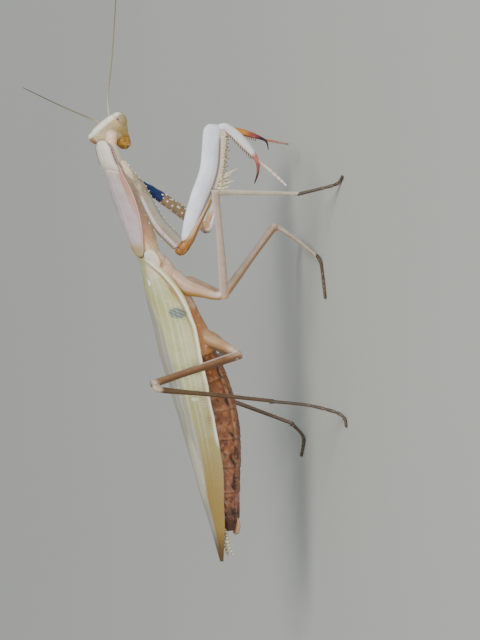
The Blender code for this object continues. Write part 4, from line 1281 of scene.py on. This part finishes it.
# the raised fore legs
foreLooks = {
    "coxaRight": {
        "body": (0.33, 0.27, 0.19), "shade": (0.26, 0.21, 0.14), "patch": 900.0, "mottle": 0.9,
        "fades": [(0, 0.26, 0.05, (0.70, 0.56, 0.42)), (0, 0.95, 0.99, (0.52, 0.32, 0.18))],
        "lines": [(35, 45, 0.40, 1.1, (0.31, 0.32, 0.29), 0.7), (165, 40, 0.30, 1.1, (0.26, 0.20, 0.12), 0.7),
                  (112, 22, 0.38, 1.05, (0.58, 0.50, 0.53), 0.95),
                  (138, 10, 0.45, 1.0, (0.22, 0.15, 0.11), 0.6)],
        "flecks": [(2400.0, (0.24, 0.18, 0.12), 0.4)],
        "marks": [(0, (0.35, 0.2, 0.1), 0.6), (2, (0.88, 0.87, 0.82), 1.0)], "relief": 0.7,
    },
    "coxaLeft": {
        "body": (0.38, 0.26, 0.15), "shade": (0.28, 0.19, 0.10), "patch": 900.0, "mottle": 0.9,
        "fades": [(0, 0.86, 0.98, (0.56, 0.36, 0.20))],
        "lines": [(0, 38, 0.35, 1.1, (0.54, 0.43, 0.32), 0.7),
                  (90, 230, -0.2, 0.445, (0.008, 0.028, 0.13), 1.0)],
        "fade": 0.04,
        "marks": [(0, (0.35, 0.2, 0.1), 0.6), (2, (0.90, 0.89, 0.84), 1.0)], "relief": 0.6,
    },
    "trochanter": {
        "body": (0.38, 0.17, 0.035), "shade": (0.18, 0.07, 0.015), "patch": 1300.0, "mottle": 0.9,
        "fades": [(0, 0.22, 0.40, (0.46, 0.29, 0.13)), (0, 0.55, 0.85, (0.40, 0.25, 0.055))],
        "lines": [(282, 12, 0.28, 1.1, (0.16, 0.07, 0.02), 0.8),
                  (246, 12, 0.30, 0.9, (0.56, 0.42, 0.26), 0.7),
                  (330, 26, 0.25, 0.8, (0.30, 0.14, 0.03), 0.7),
                  (212, 9, 0.25, 1.1, (0.20, 0.09, 0.04), 0.8)],
        "relief": 0.5, "roughness": 0.36, "coat": 0.15,
    },
    "paleTrochanter": {
        "body": (0.74, 0.70, 0.62), "shade": (0.66, 0.58, 0.48), "patch": 900.0, "mottle": 0.7,
        "fades": [(0, 0.55, 0.30, (0.60, 0.36, 0.20))], "relief": 0.4,
    },
    "femur": {
        # the body's and shade's blue tint on the white femur is a painted sky reflection
        "body": (0.84, 0.88, 1.0), "shade": (0.74, 0.76, 0.90), "patch": 450.0, "mottle": 0.8,
        "fades": [(0, 0.10, 0.0, (0.66, 0.54, 0.50))],
        "lines": [(284, 26, 0.05, 0.88, (0.64, 0.62, 0.60), 0.7),
                  (0, 60, -0.1, 0.40, (0.44, 0.27, 0.08), 1.0)],
        "spots": [((0.92, 0.9, 0.0), (0.07, 0.7, 1.2), (0.72, 0.72, 0.56), 0.8)],
        # marks 0: the cream underside, lightened as painted light against its shade
        "marks": [(0, (0.88, 0.74, 0.54), 1.0), (1, (0.17, 0.11, 0.15), 0.9), (2, (0.84, 0.82, 0.72), 1.0)],
        "relief": 0.3, "flesh": 0.2,
    },
    "spines": {
        "body": (0.74, 0.66, 0.44), "shade": (0.66, 0.54, 0.34), "mottle": 0.3,
        "fades": [(0, 0.35, 0.75, (0.12, 0.05, 0.03))], "relief": 0.2, "flesh": 0.0, "roughness": 0.3,
    },
    "tibiaRight": {
        "body": (0.90, 0.90, 0.92), "shade": (0.82, 0.80, 0.82), "patch": 700.0, "mottle": 0.6,
        "fades": [(0, 0.56, 0.65, (0.54, 0.19, 0.15)), (0, 0.68, 0.78, (0.28, 0.07, 0.08)),
                  (0, 0.80, 0.93, (0.04, 0.010, 0.014))],
        "lines": [(180, 34, 0.0, 0.6, (0.82, 0.80, 0.80), 0.6), (15, 34, 0.1, 0.66, (0.62, 0.48, 0.42), 0.8)],
        "relief": 0.3,
    },
    "tibiaLeft": {
        "body": (0.74, 0.54, 0.16), "shade": (0.66, 0.40, 0.08), "patch": 700.0, "mottle": 0.6,
        "fades": [(0, 0.16, 0.30, (0.54, 0.22, 0.03)), (0, 0.42, 0.58, (0.28, 0.05, 0.05)),
                  (0, 0.60, 0.74, (0.035, 0.012, 0.03))],
        "lines": [(180, 40, 0.2, 0.55, (0.60, 0.26, 0.16), 0.7), (0, 40, 0.1, 0.5, (0.30, 0.11, 0.01), 0.6)],
        "relief": 0.3,
    },
    "tarsusRight": {
        "body": (0.66, 0.36, 0.32), "shade": (0.60, 0.30, 0.26), "patch": 900.0, "mottle": 0.5,
        "fades": [(0, 0.08, 0.35, (0.72, 0.58, 0.50)), (0, 0.60, 0.75, (0.66, 0.62, 0.58))],
        "marks": [(0, (0.35, 0.25, 0.22), 0.6), (1, (0.10, 0.06, 0.05), 0.8), (2, (0.82, 0.78, 0.72), 0.5)],
    },
    "tarsusLeft": {
        "body": (0.62, 0.22, 0.12), "shade": (0.54, 0.16, 0.10), "patch": 900.0, "mottle": 0.5,
        "fades": [(0, 0.35, 0.8, (0.60, 0.34, 0.30)), (0, 0.80, 0.95, (0.34, 0.30, 0.24))],
        "marks": [(0, (0.25, 0.08, 0.07), 0.6), (1, (0.10, 0.06, 0.05), 0.8), (2, (0.72, 0.42, 0.38), 0.5)],
    },
}


# what differs between the two, and which look each takes
foreSides = {
    "fore_right": {"look": "Right", "coxaEnd": (0.96, 0.68), "tibia": "tibia",
                   "foot": 1.0, "trochanter": 1.0, "sink": 0.85},
    "fore_left": {"look": "Left", "coxaEnd": (0.84, 0.62), "tibia": "thinTibia",
                  "foot": 0.78, "trochanter": 0.78, "sink": -0.28},
}
# half widths along each segment, in mm
foreSizes = {
    "coxa": [(0.34, 0.34), (0.62, 0.60), (0.86, 0.76), (0.96, 0.78), (1.04, 0.76)],
    "trochanter": [(0.72, 0.62), (0.84, 0.84), (0.80, 0.92), (0.62, 0.90), (0.46, 0.82), (0.34, 0.62)],
    "femur": [(0.88, 0.66), (1.34, 0.80), (1.62, 0.82), (1.60, 0.78), (1.58, 0.74), (1.40, 0.64)],
    "tibia": [(0.52, 0.44), (0.58, 0.48), (0.68, 0.50), (0.66, 0.48), (0.48, 0.38), (0.30, 0.26),
              (0.18, 0.16), (0.06, 0.06)],
    "thinTibia": [(0.46, 0.42), (0.46, 0.44), (0.50, 0.44), (0.46, 0.40), (0.34, 0.30), (0.22, 0.20),
                  (0.13, 0.12), (0.05, 0.05)],
    "tarsus": [(0.23, 0.23), (0.21, 0.21), (0.20, 0.20), (0.17, 0.17)],
}
# rows of teeth, warts and spines: count, first, last, turns, waver, pace, as in seatRow
foreCoxaPlan = {
    "ribs": [(90, 38, -0.10), (215, 40, -0.10), (0, 12, 0.08)],
    "outerRibs": [(112, 10, 0.10), (55, 18, -0.06)],  # these start past the root
    "teeth": (16, 0.08, 0.84, (0,), 2, 2.1),
    "toothHeights": (0.20, 0.10, 0.14),
    "toothRadius": 0.085,
    "folds": 0.035,
    "backBeads": (9, 0.28, 0.88, (180,), 3, 1.7),
    "leftWarts": (20, 0.40, 0.90, (96,), 42, 2.4),
    "rightGrains": (30, 0.15, 0.80, (270,), 40, 2.4),
    # along, turn, size
    "rightWarts": [(0.66, 178, 0.15), (0.74, 180, 0.09), (0.83, 176, 0.12), (0.55, 184, 0.08)],
}


def wartsOn(part, row):  # beads in two sizes by turns
    return [bead(point, 0.10 - 0.03 * (n % 2)) for n, (point, _, _) in enumerate(seatRow(part, row))]


def foreCoxa(name, swing):
    plan = foreCoxaPlan

    def shape(t, turn):  # three-sided, with a keel to the front, and folds at its root
        folds = plan["folds"] * np.sin(t * 46 + 2.0 * np.sin(turn * 3)) * ease(0.6, 0.3, t)
        return ribs(turn, plan["ribs"]) + ribs(turn, plan["outerRibs"]) * ease(0.2, 0.45, t) + folds

    sizes = foreSizes["coxa"] + [foreSides[name]["coxaEnd"]]
    part = tube(legs[name]["coxa"], sizes, swing, rings=130, sides=64, cap=0.4, reach=(0.35, 0.35),
                shape=shape)
    parts = [part]
    for n, (point, out, _) in enumerate(seatRow(part, plan["teeth"])):
        tall = plan["toothHeights"][n % 3]
        parts.append(spike(point, out, tall, plan["toothRadius"], rings=6, sink=0.08))
        parts.append(bead(point + out * tall * 0.4, 0.05))
    parts += wartsOn(part, plan["backBeads"])
    if name == "fore_left":  # round white warts on the inner face
        for n, (point, _, _) in enumerate(seatRow(part, plan["leftWarts"])):
            parts.append(bead(point, 0.16 - 0.05 * (n % 3 == 1)))
    else:
        parts += [bead(point, 0.06) for point, _, _ in seatRow(part, plan["rightGrains"])]
        parts += [bead(seat(part, t, turn)[0], size) for t, turn, size in plan["rightWarts"]]
    look = shell(name + "CoxaShell", foreLooks["coxa" + foreSides[name]["look"]])
    makeSegment(name, "coxa", parts, look)


foreFemurPlan = {
    "ribs": [*bothSides(30, 8, 0.11), *bothSides(47, 5, -0.05), *bothSides(100, 26, -0.06), (0, 14, -0.30),
             (180, 14, 0.08)],  # a groove between two ridges for the closing tibia, a keel on the back
    "kneeLobes": 0.05,
    "kneePinch": 0.03,
    # along, degrees from the underside
    "stripeEdge": ((0.1, 0.3, 0.45, 0.6, 0.8), (78.0, 70.0, 64.0, 62.0, 60.0)),
    "warts": (56, 0.42, 0.92, (-30, 34, -20, -25), 4, 1.9),
    "innerSpines": (15, 0.40, 0.90, (28,), 0, 0),
    "innerHeights": [0.55, 0.95] * 6 + [0.5] * 3,  # short and long by turns
    "outerSpines": (4, 0.60, 0.885, (-26,), 0, 0),
    "smallSpines": (30, 0.42, 0.92, (-20,), 5, 1),
    # along, turn, height
    "longSpines": [(0.43, -8, 1.2), (0.475, 6, 1.75), (0.525, -6, 1.35), (0.555, 8, 2.3)],
}


def foreFemur(name, bend):
    plan = foreFemurPlan

    def shape(t, turn):
        under = turnGap(turn, 0)
        lobes = plan["kneeLobes"] * hump(t, 0.955, 0.03) * hump(under, 55, 35)
        pinch = plan["kneePinch"] * hump(t, 0.90, 0.012) * hump(under, 60, 60)
        return ribs(turn, plan["ribs"]) * ease(0.02, 0.2, t) * ease(1.0, 0.9, t) + lobes - pinch

    def stripes(t, turn):  # a cream underside, lightened as painted light where the underside lies in shade, and a dark line above it on each face
        under = turnGap(turn, 0)
        edge = np.interp(t, *plan["stripeEdge"])
        root = ease(63, 55, under) * ease(0.42, 0.34, t)  # the mustard stripe of the root
        creamAndPaintedLight = ease(edge + 3, edge - 5, under) * ease(0.97, 0.90, t) * (1 - root)
        dark = hump(under, edge, 8) * ease(0.05, 0.2, t) * ease(0.92, 0.86, t)
        return stacked(creamAndPaintedLight, dark, 0.0)

    part = tube(legs[name]["femur"], foreSizes["femur"], bend, rings=190, sides=96, cap=1.15,
                reach=(0.25, 0.55), shape=shape, marking=stripes)
    makeSegment(name, "femur", [part] + wartsOn(part, plan["warts"]), femurShells[name])
    spines = []
    for tall, (point, out, along) in zip(plan["innerHeights"], seatRow(part, plan["innerSpines"])):
        spines.append(spike(point, out + along * 0.15, tall * 0.5, 0.12, along * 0.12))
    for point, out, along in seatRow(part, plan["outerSpines"]):
        spines.append(spike(point, out + along * 0.25, 0.62, 0.16, along * 0.15))
    for n, (point, out, _) in enumerate(seatRow(part, plan["smallSpines"])):
        spines.append(spike(point, out, 0.24 + 0.08 * (n % 3), 0.09, rings=5, sides=6, sink=0.05))
    for n, (t, turn, tall) in enumerate(plan["longSpines"]):
        point, out, along = seat(part, t, turn)
        long = spike(point, out + along * 0.12 * n, tall + 0.25, 0.22, along * 0.10, rings=12, sides=10,
                     sink=0.25)
        long["lay"] = long["lay"] * [0.45, 1, 1]
        spines.append(long)
    makePiece(name + "_femur_spines", spines, spineShell)
    return part


foreTibiaPlan = {
    "ribs": [*bothSides(34, 9, 0.05), (0, 14, -0.10), (180, 12, 0.05)],
    "spines": (12, 0.22, 0.62),  # count, first, last
    "spineHeights": (0.16, 0.42),
}


def foreTibia(name, bend, femur):
    plan, side = foreTibiaPlan, foreSides[name]
    top = femur["path"][np.argmin(np.abs(femur["t"] - 0.945))]

    def shape(t, turn):
        return ribs(turn, plan["ribs"]) * ease(0.08, 0.2, t) * ease(0.72, 0.6, t)

    points = leadIn(top, legs[name]["tibia"], 0.35)
    part = tube(points, foreSizes[side["tibia"]], bend, rings=150, sides=56, cap=0.3, reach=(0.0, 0.05),
                shape=shape)
    look = shell(name + "TibiaShell", foreLooks["tibia" + side["look"]])
    makeSegment(name, "tibia", [part], look)
    spines, (low, high) = [], plan["spineHeights"]
    for turn in (-30, 30):
        row = seatRow(part, (*plan["spines"], (turn,), 0, 0))
        for n, (point, out, along) in enumerate(row):
            tall = low + (high - low) * n / (len(row) - 1)
            spines.append(spike(point, out + along * 0.45, tall, 0.10, along * 0.35, rings=7, sides=7,
                                sink=0.06))
    makePiece(name + "_tibia_spines", spines, tibiaSpineShell)


def foreTarsus(name, bend):
    side = foreSides[name]
    points = leadIn(legs[name]["ankle"], legs[name]["tarsus"], 0.2)
    sizes = np.array(foreSizes["tarsus"]) * side["foot"]
    foot = tarsus(points, sizes, bend, rings=140, cap=0.12, reach=(0.0, 0.1), depth=0.05)
    look = shell(name + "TarsusShell", foreLooks["tarsus" + side["look"]])
    makeSegment(name, "tarsus", [foot] + claws(foot, bend, 0.5), look)


trochanterPlan = {
    # its first two points: share of the way from the coxa's end to the femur's root, share of the sink
    "start": [(0.25, 0.5), (0.65, 1.0)],
    # along the femur, mm below its middle line
    "under": [(0.06, 0.15), (0.16, 0.45), (0.28, 0.86), (0.40, 1.24)],
    "ring": (0.20, 0.03, -0.04),  # along it, how long, height
}


def foreTrochanter(name, bend, femur):
    plan, side, leg = trochanterPlan, foreSides[name], legs[name]
    end, hip = np.array(leg["coxa"][-1]), np.array(leg["femur"][0])
    inner = unit(np.array(leg["femur"][1]) - hip)
    below = unit(np.cross(inner, bend))  # from the femur's middle line to its underside
    below = below if below @ (np.array(leg["ankle"]) - hip) > 0 else -below
    points = [end + (hip - end) * t - inner * side["sink"] * share for t, share in plan["start"]]
    points += [femur["path"][np.argmin(np.abs(femur["t"] - t))] + below * down for t, down in plan["under"]]
    sizes = [(broad * side["trochanter"], thin) for broad, thin in foreSizes["trochanter"]]
    where, wide, high = plan["ring"]
    part = tube(points, sizes, bend, rings=110, sides=48, cap=0.5, reach=(0.1, 0.1),
                shape=lambda t, turn: high * hump(t, where, wide) + 0.03 * np.sin(turn * 5 + t * 4))
    makePiece(name + "_trochanter", [part], trochanterShells[name])


def makeForeLeg(name):
    swing, bend = legPlanes(legs[name])
    foreCoxa(name, swing)
    femur = foreFemur(name, bend)
    foreTrochanter(name, bend, femur)
    foreTibia(name, bend, femur)
    foreTarsus(name, bend)


femurShells = {"fore_right": shell("foreFemurShell", foreLooks["femur"]),
               "fore_left": shell("paleFemurShell", dict(foreLooks["femur"], lines=[]))}
spineShell = shell("spineHorn", foreLooks["spines"])
tibiaSpineLook = dict(foreLooks["spines"], body=(0.55, 0.30, 0.22), shade=(0.40, 0.20, 0.14),
                      fades=[(0, 0.25, 0.7, (0.05, 0.02, 0.02))])
tibiaSpineShell = shell("tibiaSpineHorn", tibiaSpineLook)
trochanterShells = {"fore_right": shell("trochanterShell", foreLooks["trochanter"]),
                    "fore_left": shell("paleTrochanterShell", foreLooks["paleTrochanter"])}
makeForeLeg("fore_right")
makeForeLeg("fore_left")
print("fore legs made")


# the four walking legs
walkLooks = {
    "midCoxa": {
        "body": (0.58, 0.40, 0.28), "shade": (0.50, 0.31, 0.19), "patch": 700.0, "mottle": 0.7,
        "fades": [(0, 0.70, 0.84, (0.62, 0.54, 0.48)), (0, 0.90, 0.98, (0.56, 0.34, 0.18))],
        "lines": [(0, 45, -0.2, 1.2, (0.54, 0.41, 0.35), 0.6), (132, 46, -0.2, 1.2, (0.46, 0.26, 0.06), 0.9),
                  (228, 46, -0.2, 1.2, (0.46, 0.26, 0.06), 0.9)],
        "marks": [(0, (0.50, 0.28, 0.18), 0.3)], "relief": 0.4,
    },
    "hindCoxa": {
        "body": (0.46, 0.29, 0.17), "shade": (0.36, 0.21, 0.11), "patch": 700.0, "mottle": 0.8,
        # the second fade: a lighter orange-tan root, a painted highlight
        "fades": [(0, 0.66, 0.82, (0.60, 0.50, 0.45)), (0, 0.30, 0.05, (0.60, 0.38, 0.20))],
        "lines": [(180, 40, -0.2, 1.2, (0.54, 0.41, 0.33), 0.7), (0, 40, -0.2, 1.2, (0.38, 0.21, 0.09), 0.6),
                  (90, 9, 0.2, 0.8, (0.58, 0.44, 0.33), 0.5)],
        "marks": [(0, (0.30, 0.15, 0.08), 0.4)], "relief": 0.5,
    },
    "midFemur": {
        "body": (0.50, 0.39, 0.33), "shade": (0.42, 0.30, 0.23), "patch": 700.0, "mottle": 0.8,
        "fades": [(0, 0.93, 1.0, (0.66, 0.58, 0.53)), (0, 0.12, 0.0, (0.56, 0.35, 0.20))],
        "lines": [(180, 56, 0.0, 1.1, (0.64, 0.57, 0.55), 0.8), (0, 44, 0.0, 0.97, (0.42, 0.21, 0.085), 0.8)],
        "marks": [(0, (0.45, 0.28, 0.2), 0.6)], "relief": 0.4,
    },
    "midTibia": {
        "body": (0.52, 0.46, 0.37), "shade": (0.43, 0.36, 0.27), "patch": 700.0, "mottle": 0.8,
        "lines": [(180, 54, 0.0, 1.1, (0.68, 0.66, 0.59), 0.8), (0, 46, 0.0, 1.0, (0.42, 0.27, 0.22), 0.8)],
        "marks": [(0, (0.45, 0.28, 0.2), 0.6)], "relief": 0.4,
    },
    "hindFemur": {
        "body": (0.26, 0.145, 0.08), "shade": (0.19, 0.10, 0.055), "patch": 700.0, "mottle": 0.8,
        "fades": [(0, 0.22, 0.0, (0.50, 0.37, 0.28)), (0, 0.91, 0.97, (0.48, 0.40, 0.31))],
        "lines": [(148, 58, 0.0, 0.50, (0.62, 0.52, 0.49), 0.85),
                  (160, 52, 0.45, 0.94, (0.24, 0.17, 0.15), 0.85),
                  (18, 60, 0.0, 0.93, (0.18, 0.075, 0.025), 0.8)],
        "marks": [(0, (0.3, 0.18, 0.14), 0.6)], "relief": 0.4,
    },
    "hindTibia": {
        "body": (0.12, 0.07, 0.035), "shade": (0.09, 0.05, 0.025), "patch": 700.0, "mottle": 0.8,
        "fades": [(0, 0.11, 0.07, (0.48, 0.40, 0.31)), (0, 0.5, 0.9, (0.10, 0.065, 0.045))],
        "lines": [(0, 60, 0.10, 1.1, (0.20, 0.14, 0.10), 0.75),
                  (180, 60, 0.08, 1.1, (0.11, 0.055, 0.02), 0.6)],
        "marks": [(0, (0.3, 0.18, 0.14), 0.6)], "relief": 0.4,
    },
    "tarsus": {
        "body": (0.09, 0.065, 0.045), "shade": (0.065, 0.045, 0.03), "patch": 900.0, "mottle": 0.6,
        "marks": [(0, (0.07, 0.05, 0.035), 0.7), (1, (0.06, 0.04, 0.03), 0.8), (2, (0.24, 0.20, 0.16), 0.4)],
        "relief": 0.4,
    },
}


# half widths along each segment, in mm
walkSizes = {
    "coxa": [(0.95, 0.90), (1.30, 1.06), (1.22, 0.96), (0.96, 0.84), (0.70, 0.66), (0.60, 0.56),
             (0.50, 0.46)],
    "femur": [(0.62, 0.56), (0.60, 0.54), (0.52, 0.46), (0.50, 0.46), (0.56, 0.52)],
    "tibia": [(0.46, 0.42), (0.40, 0.38), (0.33, 0.32), (0.31, 0.30), (0.28, 0.27), (0.26, 0.25),
              (0.27, 0.26)],
    "tarsus": [(0.25, 0.25), (0.22, 0.22), (0.23, 0.24), (0.20, 0.22)],
}
walkPlan = {
    "coxaInFemur": (0.25, 0.9),  # mm past the femur's root
    "coxaRibs": [(180, 15, 0.04), (60, 12, 0.05)],
    "coxaSeam": (0.80, 0.05),  # along it, depth
    "coxaFolds": 0.03,
    "femurRibs": [*bothSides(40, 10, 0.035), *bothSides(140, 10, 0.035), (0, 14, -0.035)],
    "knee": (0.96, 0.03, 0.14),  # along the femur, how long, height
    "tibiaRibs": bothSides(40, 10, 0.02),
    "spurs": {"at": 0.975, "turns": (-45, 45), "length": 0.75, "radius": 0.08},
    "hairs": {"count": 70, "turns": (35, 325, 20, 340), "spread": 25, "length": (0.16, 0.30),
              "radius": 0.016},
}


def onFloor(parts):
    for part in parts:
        part["points"][:, 2] = np.maximum(part["points"][:, 2], 0.0)
    return parts


def walkCoxa(leg, swing):
    seam, depth = walkPlan["coxaSeam"]

    def folds(t, turn):
        wrinkles = walkPlan["coxaFolds"] * np.sin(t * 9 + 2 * np.sin(turn)) * ease(0.45, 0.2, t)
        return wrinkles - depth * hump(t, seam, 0.03) + ribs(turn, walkPlan["coxaRibs"])

    def creases(t, turn):
        return stacked(hump(t, seam, 0.025), 0 * turn, 0.0)

    hip = np.array(leg["femur"][0])
    inner = unit(np.array(leg["femur"][1]) - hip)
    points = leg["coxa"] + [tuple(hip + inner * past) for past in walkPlan["coxaInFemur"]]
    return tube(points, walkSizes["coxa"], swing, rings=110, sides=44, cap=0.3, reach=(0.1, 0.0),
                shape=folds, marking=creases)


def walkFemur(leg, bend):
    def keels(t, turn):
        where, long, high = walkPlan["knee"]
        lines = ribs(turn, walkPlan["femurRibs"]) * ease(0.0, 0.1, t) * ease(0.97, 0.9, t)
        return lines + high * hump(t, where, long) * hump(turnGap(turn, 0), 50, 60)

    return tube(leg["femur"], walkSizes["femur"], bend, rings=120, sides=36, cap=0.35, reach=(0.2, 0.32),
                shape=keels)


def walkTibia(leg, bend):
    spurs, hairs = walkPlan["spurs"], walkPlan["hairs"]
    points = leadIn(leg["femur"][-1], leg["tibia"], 0.35)
    part = tube(points, walkSizes["tibia"], bend, rings=120, sides=32, cap=0.25, reach=(0.1, 0.2),
                shape=lambda t, turn: ribs(turn, walkPlan["tibiaRibs"]) + 0 * t)
    parts = [part]
    for turn in spurs["turns"]:  # two spurs at the ankle
        point, out, along = seat(part, spurs["at"], turn)
        parts.append(spike(point, along + out * 0.35, spurs["length"], spurs["radius"], rings=7, sides=7))
    for n in range(hairs["count"]):
        turn = random.choice(hairs["turns"]) + random.uniform(-hairs["spread"], hairs["spread"])
        point, out, along = seat(part, 0.10 + 0.88 * n / hairs["count"], turn)
        tall = random.uniform(*hairs["length"])
        parts.append(spike(point, out + along * 0.7, tall, hairs["radius"], rings=4, sides=5, sink=0.03))
    return onFloor(parts)


def walkFoot(leg, bend):
    points = leadIn(leg["tibia"][-1], leg["tarsus"], 0.3)
    foot = tarsus(points, walkSizes["tarsus"], bend, rings=160, cap=0.15, reach=(0.05, 0.1), depth=0.06)
    along = foot["along"][-3]
    return onFloor([foot] + claws(foot, unit([along[1], -along[0], 0.0]), 0.55))


def makeWalkingLeg(name, materials):
    leg = legs[name]
    swing, bend = legPlanes(leg)
    makeSegment(name, "coxa", [walkCoxa(leg, swing)], materials[0])
    makeSegment(name, "femur", [walkFemur(leg, bend)], materials[1])
    makeSegment(name, "tibia", walkTibia(leg, bend), materials[2])
    makeSegment(name, "tarsus", walkFoot(leg, bend), materials[3])


footShell = shell("footShell", walkLooks["tarsus"])
for pair in ("mid", "hind"):
    shells = [shell(pair + part + "Shell", walkLooks[pair + part]) for part in ("Coxa", "Femur", "Tibia")]
    for side in ("right", "left"):
        makeWalkingLeg(pair + "_" + side, shells + [footShell])
print("walking legs made")
